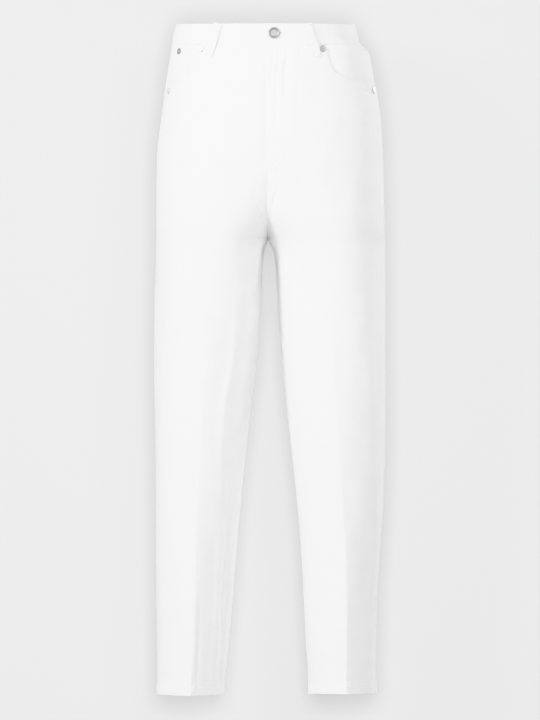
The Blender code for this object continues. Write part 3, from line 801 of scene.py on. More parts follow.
def hem_wall(side, face, share, z):
    """The wall's thickness, doubled inside the hem."""
    return CLOTH + (HEM_LIFT + HEM_EXTRA) * layered(z - hem_edge(side, face, share), HEM_HEIGHT, HEM_FALL)


def fly_relief(z, x):
    """The thicker cloth inside the fly's stitching, and its rows."""
    inside = fly_edge_at(z) - x
    open_part = soft_step((z - FLY_FOOT) / 5.0)
    return (FLY_RAISE * soft_step((inside + 0.6) / 1.4) + dents(inside, FLY_ROWS, 0.35, 0.9)) * open_part


def scoop_relief(side, share, z, points):
    """The turned edge of a pocket's opening, and its rows."""
    away = np.full(share.shape, 1e3)
    near = (z > SCOOP_FOOT - 30) & (share > SCOOP_START[side] - 0.12)
    if near.any():
        away[near] = np.min(np.linalg.norm(points[near][:, None, :] - SCOOP_EDGE[side][None], axis=-1), axis=-1)
    return SCOOP_RAISE * layered(away, SCOOP_TURNED) * soft_step(away / 1.2) + dents(away, depth=0.22)


def front_skin(side, share, z):
    """A front panel's outer face, with its fly, seams, turned scoop and hem."""
    share, z = np.broadcast_arrays(np.asarray(share, float), np.asarray(z, float))
    points = bare(side, FRONT, share, z, SEAM_GAP)
    arc = arc_of(side, FRONT, share, z)
    rise = scoop_relief(side, share, z, points)
    if side == LEFT:
        below = soft_step((FLY_FOOT + 4.0 - z) / 6.0) * (z > CROTCH - 40)
        rise = rise + fly_relief(z, points[..., 0]) + FELL_HEIGHT * below * layered(arc, FELL_WIDTH)
    rise = rise + seam_ripple(side, FRONT, share, z, side) + hem_relief(side, FRONT, share, z, arc)
    return cloth(side, FRONT, share, z, rise)


def cloth_uv(side, face, share, z):
    """Lengths along and down the cloth, for its weave."""
    arc = arc_of(side, face, share, z)
    return np.stack([side * arc + face * 700.0, z], axis=-1)


def cut_piece(name, side, face, share, z, skin, thickness, material, edges="lrtb"):
    """A cut of cloth on one panel, from its skin: its outer points and the ways out of them."""
    uv = cloth_uv(side, face, share, z)
    return rounded_wall(name, *skin, thickness, uv, material, side * face > 0, edges)


def front_piece(side):
    """A front panel. Its edge at the fly and the inseam stays square."""
    across = spaced(FRONT_COLUMNS)
    before = across < BEFORE_SCOOP
    way = np.clip((across - BEFORE_SCOOP) / (1 - BEFORE_SCOOP), 0, 1)
    scoop_share, scoop_z = scoop_line(side, way)
    top_share = np.where(before, across / BEFORE_SCOOP * SCOOP_START[side], scoop_share)
    top_z = np.where(before, band_seam(FRONT, top_share) + BAND_TUCK, scoop_z)
    share, z = panel_grid(side, FRONT, spaced(FRONT_ROWS), across, top_share, top_z)
    name = f"{SIDE_NAME[side]}_front"
    wall_here = hem_wall(side, FRONT, share, z)
    return cut_piece(name, side, FRONT, share, z, front_skin(side, share, z), wall_here, denim_cloth, "rtb")


def back_skin(side, share, z, lift=0.0):
    """A back panel's or yoke's outer face, with its felled middle seam and inseam, and its hem."""
    share, z = np.broadcast_arrays(np.asarray(share, float), np.asarray(z, float))
    arc = arc_of(side, BACK, share, z)
    felled = layered(arc, FELL_WIDTH) * ((z < CROTCH) | (side == LEFT))
    rise = (FELL_HEIGHT + dents(arc)) * felled
    rise = rise + seam_ripple(side, BACK, share, z, side + 2) + hem_relief(side, BACK, share, z, arc)
    return cloth(side, BACK, share, z, lift + rise)


def back_piece(side):
    """A back panel, which starts at the yoke seam."""
    across = spaced(BACK_COLUMNS)
    share, z = panel_grid(side, BACK, spaced(BACK_ROWS), across, across, yoke_seam(across) - SEAM_GAP / 2)
    name = f"{SIDE_NAME[side]}_back"
    wall_here = hem_wall(side, BACK, share, z)
    return cut_piece(name, side, BACK, share, z, back_skin(side, share, z), wall_here, denim_cloth)


def yoke_rise(share, up):
    """The yoke is felled over the back along its foot, and lies flush at the side seam."""
    return (FELL_HEIGHT * layered(up, FELL_WIDTH) + dents(up)) * soft_step((1 - share) / 0.06)


def yoke_piece(side):
    """The yoke between the waistband and a back panel."""
    down = spaced(((0, 0.03, 3), (0.03, 0.6, 12), (0.6, 0.97, 16), (0.97, 1, 3)))[:, None]
    inset = edge_share(side, BACK, YOKE_MIDDLE)
    share = inset + spaced(BACK_COLUMNS)[None, :] * (1 - 2 * inset) + 0 * down
    top = band_seam(BACK, share) + BAND_TUCK
    bottom = yoke_seam(share) + SEAM_GAP / 2
    z = top + (bottom - top) * down
    skin = back_skin(side, share, z, yoke_rise(share, z - bottom))
    return cut_piece(f"{SIDE_NAME[side]}_yoke", side, BACK, share, z, skin, CLOTH, denim_cloth)


def sunk(side, share, z):
    """How deep the cloth behind a scoop lies: 1 under the front and its edge, 0 where it is flush again."""
    points = bare(side, FRONT, share, z, SEAM_GAP)
    away = np.min(np.linalg.norm(points[..., None, :] - SCOOP_EDGE[side], axis=-1), axis=-1)
    line_share, line_z = scoop_line(side, np.linspace(0, 1, 200))
    shown = (share > SCOOP_START[side]) & (z > np.interp(share, line_share, line_z))
    return (1 - soft_step(away / 13.0) * shown) * layered(share, 0.90, 0.08)


def facing_piece(side, depth):
    """The facing seen in the scoop, which runs on under the front and past the side seam."""
    down = np.linspace(0, 1, 56)[:, None]
    across = np.linspace(SCOOP_START[side] - FACING_UNDER, 1 + FACING_BEYOND, 84)[None, :]
    share = np.clip(across, 0, 1) + 0 * down
    top = band_seam(FRONT, share) + BAND_TUCK
    z = top + (FACING_FOOT - top) * down
    skin = cloth(side, FRONT, share, z, -FACING_DIP - (depth - FACING_DIP) * sunk(side, share, z))
    skin[0][..., 1] += np.clip(across - 1, 0, None) * SIDE_SEAM_REACH
    return cut_piece(f"{SIDE_NAME[side]}_pocket_facing", side, FRONT, share, z, skin, CLOTH, pocket_cloth)


def coin_spot(across, down):
    """Share and height of a place on the coin pocket."""
    share = COIN_SHARES[0] + (COIN_SHARES[1] - COIN_SHARES[0]) * across + COIN_FLARE * down * (0.5 - across)
    return share, COIN_TOP - COIN_HEIGHT * down + 0 * across


def coin_skin(across, down):
    """The coin pocket's outer face."""
    share, z = coin_spot(across, down)
    deep = sunk(RIGHT, share, z)
    return cloth(RIGHT, FRONT, share, z, COIN_WALL * (1 - deep) - (LAYER_ROOM + CLOTH) * deep)


def coin_pocket_piece():
    """The small pocket on the right facing, between it and the front panel."""
    steps = spaced(((0, 0.02, 3), (0.02, 0.98, 30), (0.98, 1, 3)))
    across, down = np.meshgrid(steps, steps)
    share, z = coin_spot(across, down)
    skin = coin_skin(across, down)
    return cut_piece("coin_pocket_patch", RIGHT, FRONT, share, z, skin, COIN_WALL, pocket_cloth)


def pocket_spot(across, down):
    """Share and height of a place on a back pocket."""
    share = POCKET_MIDDLE + POCKET_DRIFT * down + (POCKET_HALF - POCKET_TAPER * down) * across
    foot = POCKET_POINT * (1 - np.abs(across)) * down
    return share, POCKET_TOP + POCKET_TILT * across - POCKET_HEIGHT * down - foot


def pocket_edge_distance(side, across, down):
    """Distance along the cloth from a back pocket's top, and from its sides or foot."""
    share, z = pocket_spot(across, down)
    span = arc_of(side, BACK, np.ones_like(share), z)
    half = (POCKET_HALF - POCKET_TAPER * down) * span
    side_away = half * (1 - np.abs(across))
    length = POCKET_HEIGHT + POCKET_POINT * (1 - np.abs(across))
    return length * down, side_away, length * (1 - down)


def pocket_skin(side, across, down):
    """A back pocket's outer face, with its deep top hem and its sewn edges."""
    share, z = pocket_spot(across, down)
    from_top, from_side, from_foot = pocket_edge_distance(side, across, down)
    edge = np.minimum(from_side, from_foot)
    rise = 0.45 * layered(from_top, POCKET_TURNED) + dents(from_top, (POCKET_TURNED - FIRST_ROW,), half=0.9)
    rise = rise + 0.5 * np.exp(-((across / 0.55) ** 2)) * np.exp(-((from_top / 26.0) ** 2))
    rise = rise + dents(edge, half=0.9) + 0.22 * np.exp(-(((edge - sum(BOTH_ROWS) / 2) / 2.2) ** 2))
    return cloth(side, BACK, share, z, rise + POCKET_LIFT + CLOTH)


def back_pocket_piece(side):
    """A plain patch pocket with a pointed foot."""
    down = spaced(((0, 0.012, 3), (0.012, 0.22, 22), (0.22, 0.88, 30), (0.88, 0.988, 16), (0.988, 1, 3)))
    half = spaced(((0, 0.82, 18), (0.82, 0.985, 12), (0.985, 1, 3)))
    across, down = np.meshgrid(np.concatenate([-half[::-1], half[1:]]), down)
    share, z = pocket_spot(across, down)
    skin = pocket_skin(side, across, down)
    return cut_piece(f"{SIDE_NAME[side]}_back_pocket", side, BACK, share, z, skin, CLOTH, pocket_cloth)


def band_lift(turn):
    """How far the waistband lies off the cloth. Its right end goes under the left one."""
    sink = soft_step((turn - BAND_SINK_START) / (BAND_SINK_END - BAND_SINK_START))
    return BAND_LIFT - (BAND_WALL + 0.5) * sink


def band_spot(turn, drop):
    """A place on the waistband, at a turn round the waist and a drop below the top edge."""
    side, face, share = quarter_of(turn)
    pucker = 0.12 * math.sin(turn * 96.0) + 0.10 * math.sin(turn * 61.0 + 1.0)
    drop = np.asarray(drop, float)
    middle = np.exp(-(((drop - BAND_HEIGHT / 2) / 9.0) ** 2))
    rise = 0.35 * middle + pucker * (1 - middle)
    rise = rise + dents(drop, (FIRST_ROW,), 0.25, 0.9) + dents(drop, (BAND_HEIGHT - FIRST_ROW,), 0.45, 0.9)
    return cloth(side, face, share, top_edge(face, share) - drop, band_lift(turn) + rise, 0.0)


def band_spot_at(x, z):
    """A place on the waistband over the left front, at (across, height)."""
    share = share_at(LEFT, FRONT, x, z)
    return band_spot(share, float(top_edge(FRONT, share)) - z)


def waistband_piece():
    """The band all round the waist. Its left end laps over the right end at the middle front."""
    turns = np.concatenate([
        np.linspace(BAND_END, BAND_ROW_START, 4)[:-1],
        np.linspace(BAND_ROW_START, 4 + BAND_UNDERLAP, BAND_COLUMNS),
    ])
    drops = spaced(((0, 1.0, 4), (1.0, 4.5, 7), (4.5, 26.4, 10), (26.4, 29.9, 7), (29.9, BAND_HEIGHT, 4)))
    outer = np.zeros((len(drops), len(turns), 3))
    normals = np.zeros_like(outer)
    run = np.zeros(len(turns))
    for j, turn in enumerate(turns):
        outer[:, j], normals[:, j] = band_spot(turn, drops)
        run[j] = run[j - 1] + np.linalg.norm(outer[0, j] - outer[0, j - 1]) if j else 0.0
    across, down = np.meshgrid(run, drops)
    uv = np.stack([down + 3000.0, across], axis=-1)
    return rounded_wall("waistband_strip", outer, normals, BAND_WALL, uv, band_cloth, False)


def fly_strip(name, reach, depth, thickness, material):
    """A long strip hidden behind the fly, across the middle seam."""
    down = np.linspace(0, 1, 40)
    turns = np.linspace(reach[0], reach[1], 24)
    outer = np.zeros((len(down), len(turns), 3))
    normals = np.zeros_like(outer)
    for j, turn in enumerate(turns):
        side, face, share = quarter_of(turn)
        z = band_seam(face, share) - SEAM_GAP - (FLY_LENGTH - 1.0) * down
        outer[:, j], normals[:, j] = cloth(side, face, share, z, -depth, 0.0)
    across, along = np.meshgrid(turns * 160.0, down * FLY_LENGTH)
    uv = np.stack([across + 5000.0, -along], axis=-1)
    return rounded_wall(name, outer, normals, thickness, uv, material, False)


# Belt loops: drop below the top edge, and the lift of the loop's inner face off the cloth
LOOP_RISE = table(
    "drop lift",
    (0.0, 1.2),
    (-3.0, 1.9),
    (-9.0, 2.7),
    (-18.0, 3.0),
    (-28.0, 2.7),
    (-35.0, 2.0),
    (-42.0, 1.2),
    (-50.0, 0.6),
)
LOOP_LENGTH = 50.0
LOOP_LIFT = curve_through(LOOP_RISE["drop"], LOOP_RISE["lift"])

# Belt loops: the node each one stands for, side, face, share at the top and at the foot
BELT_LOOPS = (
    ("belt_loop_front_left", LEFT, FRONT, 0.244, 0.262),
    ("belt_loop_front_right", RIGHT, FRONT, 0.324, 0.380),
    ("belt_loop_back_left", LEFT, BACK, 0.640, 0.640),
    ("belt_loop_back_right", RIGHT, BACK, 0.640, 0.640),
    ("belt_loop_back_middle", LEFT, BACK, 0.0, 0.0),
)


def loop_frame(row, drop):
    """Centre, outward and across directions of a belt loop, at a drop below the top edge."""
    _, side, face, top_share, foot_share = row
    spots = []
    for offset in (-1.0, 0.0, 1.0):
        way = np.clip(drop + offset, 0, LOOP_LENGTH) / LOOP_LENGTH
        share = top_share + (foot_share - top_share) * way
        z = float(top_edge(face, share)) - way * LOOP_LENGTH
        spots.append(cloth(side, face, share, z, float(LOOP_LIFT(-way * LOOP_LENGTH)), 0.0))
    centre, normal = spots[1]
    across = np.cross(normal, spots[2][0] - spots[0][0])
    return centre, normal, across / np.linalg.norm(across)


# A belt loop's cross-section: across as a share of half its width, and height as a share of its wall
LOOP_SECTION = (
    (-1.0, 0.35), (-0.97, 0.12), (-0.90, 0.0), (-0.45, 0.0), (0.0, 0.0), (0.45, 0.0), (0.90, 0.0),
    (0.97, 0.12), (1.0, 0.35), (1.0, 0.55), (0.97, 0.78), (0.90, 0.86), (0.74, 0.76), (0.58, 0.92),
    (0.30, 0.98), (0.0, 1.0), (-0.30, 0.98), (-0.58, 0.92), (-0.74, 0.76), (-0.90, 0.86), (-0.97, 0.78),
    (-1.0, 0.55),
)


def belt_loop_piece(row):
    """A narrow folded strip that stands off the waistband between its two sewn ends."""
    drops = spaced(((0, 0.5, 2), (0.5, 49.5, 48), (49.5, LOOP_LENGTH, 2)))
    vertices = []
    uv = []
    for drop in drops:
        centre, normal, across = loop_frame(row, drop)
        at_end = min(drop, LOOP_LENGTH - drop)
        pinch = 1 - 0.25 * np.exp(-(at_end / 1.0)) - 0.16 * math.exp(-((at_end - 3.2) / 1.8) ** 2)
        sway = 0.15 * math.sin(drop / 5.5 + row[3] * 9)
        for out, up in LOOP_SECTION:
            height = LOOP_WALL * (0.2 + (up - 0.2) * pinch if up > 0.2 else up)
            vertices.append(centre + across * (out * LOOP_WIDTH / 2 + sway) + normal * height)
            uv.append((out * LOOP_WIDTH / 2 + 4000.0 + row[3] * 100, -drop))
    corners = len(LOOP_SECTION)
    faces = []
    for i in range(len(drops) - 1):
        for k in range(corners):
            a = i * corners + k
            b = i * corners + (k + 1) % corners
            faces.append((a, b, b + corners, a + corners))
    last = (len(drops) - 1) * corners
    faces.append(tuple(range(corners))[::-1])
    faces.append(tuple(range(last, last + corners)))
    name = row[0].replace("belt_loop", "loop")
    made = build_mesh(name, vertices, faces, band_cloth, uv)
    made.data.validate()
    return made


# Turned outlines of the metal parts, as shares of their radius and height, from the middle out and under
BUTTON_OUTLINE = (
    (0.0, 0.42), (0.30, 0.43), (0.52, 0.44), (0.60, 0.47), (0.66, 0.58), (0.74, 0.84), (0.82, 0.97),
    (0.88, 1.0), (0.94, 0.94), (0.985, 0.78), (1.0, 0.58), (0.985, 0.38), (0.93, 0.24), (0.84, 0.16),
    (0.60, 0.12), (0.0, 0.10),
)
RIVET_OUTLINE = (
    (0.0, 0.92), (0.14, 0.90), (0.26, 0.80), (0.32, 0.62), (0.40, 0.55), (0.52, 0.60), (0.70, 0.72),
    (0.84, 0.74), (0.94, 0.60), (1.0, 0.34), (0.98, 0.10), (0.90, 0.0), (0.0, 0.0),
)
CAP_SIDES = 64


def turned_cap(name, spot, normal, radius, height, outline, material, tilt=(0.0, 0.0)):
    """A round metal part turned from an outline, standing on the cloth at a spot."""
    normal = np.array(normal) + np.array([tilt[0], 0.0, tilt[1]])
    normal /= np.linalg.norm(normal)
    east = np.cross(normal, [0.0, 0.0, 1.0])
    east /= np.linalg.norm(east)
    north = np.cross(east, normal)
    turns = 2 * math.pi * np.arange(CAP_SIDES) / CAP_SIDES
    ring = np.outer(np.cos(turns), east) + np.outer(np.sin(turns), north)
    vertices = [spot + normal * outline[0][1] * height]
    for out, up in outline[1:-1]:
        vertices += list(spot + ring * out * radius + normal * up * height)
    vertices.append(spot + normal * outline[-1][1] * height)
    faces = [(0, 1 + (k + 1) % CAP_SIDES, 1 + k) for k in range(CAP_SIDES)]
    for level in range(len(outline) - 3):
        start = 1 + level * CAP_SIDES
        for k in range(CAP_SIDES):
            after = (k + 1) % CAP_SIDES
            faces.append((start + k, start + after, start + CAP_SIDES + after, start + CAP_SIDES + k))
    last = 1 + (len(outline) - 3) * CAP_SIDES
    base = len(vertices) - 1
    faces += [(last + k, last + (k + 1) % CAP_SIDES, base) for k in range(CAP_SIDES)]
    return build_mesh(name, vertices, faces, material, None, 40)


# Rivets: the node each one stands for, side, distance from the middle plane, height
RIVETS = (
    ("rivet_left_inner", LEFT, 82.6, -43.5),
    ("rivet_left_side", LEFT, 158.5, -102.5),
    ("rivet_right_inner", RIGHT, -98.0, -43.0),
    ("rivet_right_side", RIGHT, -147.0, -102.5),
)


def rivet_piece(node, side, x, z, lift, material):
    """A rivet on a front panel, with a small nub in a dished cap."""
    spot, normal = cloth(side, FRONT, share_at(side, FRONT, x, z), z, lift + SCOOP_RAISE)
    name = node.replace("rivet_", "cap_rivet_")
    return turned_cap(name, spot, normal, RIVET_RADIUS, RIVET_HEIGHT, RIVET_OUTLINE, material)


def button_piece(material):
    """The plain waist button, dished inside a raised rim."""
    x, z = BUTTON_AT
    spot, normal = cloth(LEFT, FRONT, share_at(LEFT, FRONT, x, z), z, BAND_LIFT + CAP_ROOM, 0.0)
    return turned_cap(
        "shank_button", spot, normal, BUTTON_RADIUS, BUTTON_HEIGHT, BUTTON_OUTLINE, material, (0.05, 0.03)
    )


# Materials

def socket(node, name, value):
    """Sets the plain value of one input."""
    node.inputs[name].default_value = value


def node_in(tree, kind, **settings):
    """A node of one kind, with its properties set."""
    made = tree.nodes.new(kind)
    for key, value in settings.items():
        setattr(made, key, value)
    return made


def noise_on(tree, vector, scale, detail=2.0, roughness=0.5):
    """Noise over a place."""
    made = node_in(tree, "ShaderNodeTexNoise")
    tree.links.new(vector, made.inputs["Vector"])
    socket(made, "Scale", scale)
    socket(made, "Detail", detail)
    socket(made, "Roughness", roughness)
    return made.outputs["Fac"]


def mapped(tree, vector, scale=(1, 1, 1), turn=0.0):
    """A place scaled and turned."""
    made = node_in(tree, "ShaderNodeMapping")
    tree.links.new(vector, made.inputs["Vector"])
    socket(made, "Scale", scale)
    socket(made, "Rotation", (0, 0, turn))
    return made.outputs["Vector"]


def ribs_on(tree, vector, period, distortion=0.0, detail_scale=1.0):
    """Bands across X, one for each period in metres."""
    made = node_in(tree, "ShaderNodeTexWave", wave_type="BANDS", bands_direction="X", wave_profile="SIN")
    tree.links.new(vector, made.inputs["Vector"])
    socket(made, "Scale", 2 * math.pi / (20 * period))
    socket(made, "Distortion", distortion)
    socket(made, "Detail", 1.0)
    socket(made, "Detail Scale", detail_scale)
    return made.outputs["Fac"]


def blend(tree, fac, low, high):
    """Two colours mixed by a factor."""
    made = node_in(tree, "ShaderNodeMix", data_type="RGBA")
    tree.links.new(fac, made.inputs[0])
    for key, value in ((6, low), (7, high)):
        if isinstance(value, tuple):
            made.inputs[key].default_value = (*value, 1.0)
        else:
            tree.links.new(value, made.inputs[key])
    return made.outputs[2]


def bump_on(tree, height, distance, strength=1.0, below=None):
    """A bump by a height in metres, laid over the one below it."""
    made = node_in(tree, "ShaderNodeBump")
    tree.links.new(height, made.inputs["Height"])
    socket(made, "Distance", distance)
    socket(made, "Strength", strength)
    if below is not None:
        tree.links.new(below, made.inputs["Normal"])
    return made.outputs["Normal"]


def in_range(tree, value, low, high, to_low=0.0, to_high=1.0):
    """A value carried from one range to another."""
    made = node_in(tree, "ShaderNodeMapRange")
    tree.links.new(value, made.inputs["Value"])
    socket(made, "From Min", low)
    socket(made, "From Max", high)
    socket(made, "To Min", to_low)
    socket(made, "To Max", to_high)
    return made.outputs["Result"]


def new_material(name):
    """A new material, its node tree and its shader."""
    material = bpy.data.materials.new(name)
    material.use_nodes = True
    return material, material.node_tree, material.node_tree.nodes["Principled BSDF"]


TWILL_PERIOD = 0.00105
TWILL_TURN = math.radians(27)
YARN_PERIOD = 0.00052


def denim(name, light, shade, rib=1.0):
    """Washed cotton twill: slanting ribs, uneven upright yarns, and a soft mottle."""
    material, tree, shader = new_material(name)
    cloth_place = node_in(tree, "ShaderNodeUVMap", uv_map="cloth").outputs["UV"]
    ribs = ribs_on(tree, mapped(tree, cloth_place, turn=TWILL_TURN), TWILL_PERIOD, 1.2, 900.0)
    yarns = ribs_on(tree, cloth_place, YARN_PERIOD, 1.0, 700.0)
    slub = noise_on(tree, mapped(tree, cloth_place, (620, 30, 1)), 1.0, 3.0, 0.62)
    cross = noise_on(tree, mapped(tree, cloth_place, (60, 420, 1)), 1.0, 2.0, 0.55)
    mottle = noise_on(tree, cloth_place, 34.0, 3.0, 0.55)
    cloud = in_range(tree, mottle, 0.3, 0.7)
    base = blend(tree, cloud, shade, light)
    streaks = in_range(tree, slub, 0.34, 0.72)
    darker = tuple(c * 0.965 for c in shade)
    base = blend(tree, in_range(tree, ribs, 0.0, 1.0, 0.12, 0.0), base, darker)
    base = blend(tree, in_range(tree, streaks, 0.0, 1.0, 0.16, 0.0), base, darker)
    tree.links.new(base, shader.inputs["Base Color"])
    normal = bump_on(tree, slub, 0.00022, 0.55)
    normal = bump_on(tree, cross, 0.00016, 0.40, normal)
    normal = bump_on(tree, yarns, 0.00006, 0.45, normal)
    normal = bump_on(tree, ribs, 0.00010, 0.60 * rib, normal)
    tree.links.new(normal, shader.inputs["Normal"])
    rough = in_range(tree, slub, 0.3, 0.7, 0.80, 0.90)
    tree.links.new(rough, shader.inputs["Roughness"])
    socket(shader, "Sheen Weight", 0.12)
    socket(shader, "Sheen Roughness", 0.45)
    socket(shader, "Specular IOR Level", 0.28)
    return material


def thread(name, colour):
    """Spun sewing thread."""
    material, tree, shader = new_material(name)
    place = node_in(tree, "ShaderNodeTexCoord").outputs["Object"]
    twist = ribs_on(tree, mapped(tree, place, turn=0.8), 0.0004, 0.6)
    fuzz = noise_on(tree, place, 2600.0)
    tree.links.new(blend(tree, fuzz, tuple(c * 0.94 for c in colour), colour), shader.inputs["Base Color"])
    tree.links.new(bump_on(tree, twist, 0.00006, 0.5), shader.inputs["Normal"])
    socket(shader, "Roughness", 0.7)
    socket(shader, "Sheen Weight", 0.1)
    return material


def tape(name, colour):
    """Flat woven zip tape, with fine herringbone ribs."""
    material, tree, shader = new_material(name)
    place = node_in(tree, "ShaderNodeUVMap", uv_map="cloth").outputs["UV"]
    ribs = ribs_on(tree, mapped(tree, place, turn=math.radians(45)), 0.0009, 0.5, 300.0)
    yarns = noise_on(tree, mapped(tree, place, (300, 900, 1)), 1.0)
    tree.links.new(blend(tree, yarns, tuple(c * 0.93 for c in colour), colour), shader.inputs["Base Color"])
    tree.links.new(bump_on(tree, ribs, 0.00012, 0.6), shader.inputs["Normal"])
    socket(shader, "Roughness", 0.8)
    return material


def nickel(name, colour, rough_low, rough_high):
    """Brushed nickel with faint scratches and a duller bloom."""
    material, tree, shader = new_material(name)
    place = node_in(tree, "ShaderNodeTexCoord").outputs["Object"]
    scratches = noise_on(tree, mapped(tree, place, (300, 300, 6000)), 1.0, 3.0, 0.6)
    bloom = noise_on(tree, place, 420.0, 3.0, 0.6)
    dull = tuple(c * 0.80 for c in colour)
    tree.links.new(blend(tree, in_range(tree, bloom, 0.35, 0.7), dull, colour), shader.inputs["Base Color"])
    tree.links.new(in_range(tree, scratches, 0.3, 0.7, rough_low, rough_high), shader.inputs["Roughness"])
    tree.links.new(bump_on(tree, scratches, 0.00004, 0.35), shader.inputs["Normal"])
    socket(shader, "Metallic", 1.0)
    return material


def dark_slit(name, colour):
    """Painted shade: a dark matte colour for the shadow inside the buttonhole's slit."""
    material, tree, shader = new_material(name)
    place = node_in(tree, "ShaderNodeTexCoord").outputs["Object"]
    fuzz = noise_on(tree, place, 1800.0)
    tree.links.new(blend(tree, fuzz, colour, tuple(c * 1.4 for c in colour)), shader.inputs["Base Color"])
    socket(shader, "Roughness", 0.95)
    return material


# Sewing, made by one node tree that lays a stitch at every step of a line

def stitch_tree():
    """Stitches along every line of a mesh of edges, each one lying on the cloth."""
    tree = bpy.data.node_groups.new("stitching", "GeometryNodeTree")
    face = tree.interface
    face.new_socket("Lines", in_out="INPUT", socket_type="NodeSocketGeometry")
    for name, value in (("Pitch", 0.0032), ("Length", 0.0028), ("Radius", 0.00027), ("Turn", 0.0)):
        made = face.new_socket(name, in_out="INPUT", socket_type="NodeSocketFloat")
        made.default_value = value
    face.new_socket("Thread", in_out="INPUT", socket_type="NodeSocketMaterial")
    face.new_socket("Stitches", in_out="OUTPUT", socket_type="NodeSocketGeometry")
    nodes = tree.nodes
    link = tree.links.new
    given = nodes.new("NodeGroupInput").outputs
    result = nodes.new("NodeGroupOutput")

    def scaled(value, factor):
        math_node = node_in(tree, "ShaderNodeMath", operation="MULTIPLY")
        link(value, math_node.inputs[0])
        math_node.inputs[1].default_value = factor
        return math_node.outputs[0]

    def spot(x, z):
        combine = nodes.new("ShaderNodeCombineXYZ")
        link(x, combine.inputs["X"])
        link(z, combine.inputs["Z"])
        return combine.outputs[0]

    arch = node_in(tree, "GeometryNodeCurvePrimitiveBezierSegment", mode="POSITION")
    socket(arch, "Resolution", 3)
    link(spot(scaled(given["Length"], -0.5), scaled(given["Radius"], -0.9)), arch.inputs["Start"])
    link(spot(scaled(given["Length"], -0.3), scaled(given["Radius"], 1.5)), arch.inputs["Start Handle"])
    link(spot(scaled(given["Length"], 0.3), scaled(given["Radius"], 1.5)), arch.inputs["End Handle"])
    link(spot(scaled(given["Length"], 0.5), scaled(given["Radius"], -0.9)), arch.inputs["End"])
    ring = nodes.new("GeometryNodeCurvePrimitiveCircle")
    socket(ring, "Resolution", 5)
    link(given["Radius"], ring.inputs["Radius"])
    stitch = nodes.new("GeometryNodeCurveToMesh")
    link(arch.outputs[0], stitch.inputs["Curve"])
    link(ring.outputs[0], stitch.inputs["Profile Curve"])
    socket(stitch, "Fill Caps", True)
    lines = nodes.new("GeometryNodeMeshToCurve")
    link(given["Lines"], lines.inputs[0])
    steps = node_in(tree, "GeometryNodeResampleCurve", mode="LENGTH")
    link(lines.outputs[0], steps.inputs["Curve"])
    link(given["Pitch"], steps.inputs["Length"])
    along = nodes.new("GeometryNodeInputTangent")
    square = node_in(tree, "GeometryNodeInputNamedAttribute", data_type="FLOAT_VECTOR")
    socket(square, "Name", "outward")
    aim = node_in(tree, "FunctionNodeAxesToRotation", primary_axis="Z", secondary_axis="X")
    link(square.outputs["Attribute"], aim.inputs["Primary Axis"])
    link(along.outputs[0], aim.inputs["Secondary Axis"])
    twist = nodes.new("FunctionNodeAxisAngleToRotation")
    socket(twist, "Axis", (0, 0, 1))
    jitter = node_in(tree, "FunctionNodeRandomValue", data_type="FLOAT")
    jitter.inputs[2].default_value = -0.07
    jitter.inputs[3].default_value = 0.07
    jitter.inputs["Seed"].default_value = 5
    total = node_in(tree, "ShaderNodeMath", operation="ADD")
    link(given["Turn"], total.inputs[0])
    link(jitter.outputs[1], total.inputs[1])
    link(total.outputs[0], twist.inputs["Angle"])
    turned = node_in(tree, "FunctionNodeRotateRotation", rotation_space="LOCAL")
    link(aim.outputs[0], turned.inputs["Rotation"])
    link(twist.outputs[0], turned.inputs["Rotate By"])
    place = nodes.new("GeometryNodeInstanceOnPoints")
    link(steps.outputs[0], place.inputs["Points"])
    link(stitch.outputs[0], place.inputs["Instance"])
    link(turned.outputs[0], place.inputs["Rotation"])
    real = nodes.new("GeometryNodeRealizeInstances")
    link(place.outputs[0], real.inputs[0])
    paint = nodes.new("GeometryNodeSetMaterial")
    link(real.outputs[0], paint.inputs["Geometry"])
    link(given["Thread"], paint.inputs["Material"])
    link(paint.outputs[0], result.inputs[0])
    return tree


def sewn(name, lines, tree, kind):
    """One mesh of stitches along lines, each a pair of points and outward directions."""
    vertices = []
    outwards = []
    edges = []
    for points, normals in lines:
        start = len(vertices)
        vertices += (points * MM).tolist()
        outwards += normals.tolist()
        edges += [(start + i, start + i + 1) for i in range(len(points) - 1)]
    mesh = bpy.data.meshes.new(name + "_lines")
    mesh.from_pydata(vertices, edges, [])
    attribute = mesh.attributes.new("outward", "FLOAT_VECTOR", "POINT")
    attribute.data.foreach_set("vector", np.array(outwards, float).ravel())
    guide = placed(name + "_lines", mesh)
    modifier = guide.modifiers.new("stitching", "NODES")
    modifier.node_group = tree
    pitch, length, radius, turn = kind
    values = {"Pitch": pitch * MM, "Length": length * MM, "Radius": radius * MM}
    values |= {"Turn": turn, "Thread": white_thread}
    for item in tree.interface.items_tree:
        if item.in_out == "INPUT" and item.name in values:
            modifier[item.identifier] = values[item.name]
    evaluated = guide.evaluated_get(bpy.context.evaluated_depsgraph_get())
    stitches = bpy.data.meshes.new_from_object(evaluated)
    stitches.name = name
    for extra in [a.name for a in stitches.attributes if a.name == "outward"]:
        stitches.attributes.remove(stitches.attributes[extra])
    stitches.shade_smooth()
    bpy.data.objects.remove(guide, do_unlink=True)
    return placed(name, stitches)


def line_of(spots):
    """A line to sew along, from pairs of a point and its outward direction."""
    return tuple(np.array(part) for part in zip(*spots))


def rows_on(skin, side, face, arcs, start, end):
    """Rows down a panel, at lengths from its inner edge (or from its side seam if negative)."""
    z = np.linspace(start, end, max(2, int(abs(end - start) / ROW_STEP)))
    return [skin(side, share_for_arc(side, face, arc, z), z) for arc in arcs]


def beside(line, distance):
    """A flat line moved sideways by a distance."""
    ahead = np.gradient(line, axis=0)
    square = np.stack([ahead[:, 1], -ahead[:, 0]], axis=1)
    return line + square / np.linalg.norm(square, axis=1)[:, None] * distance


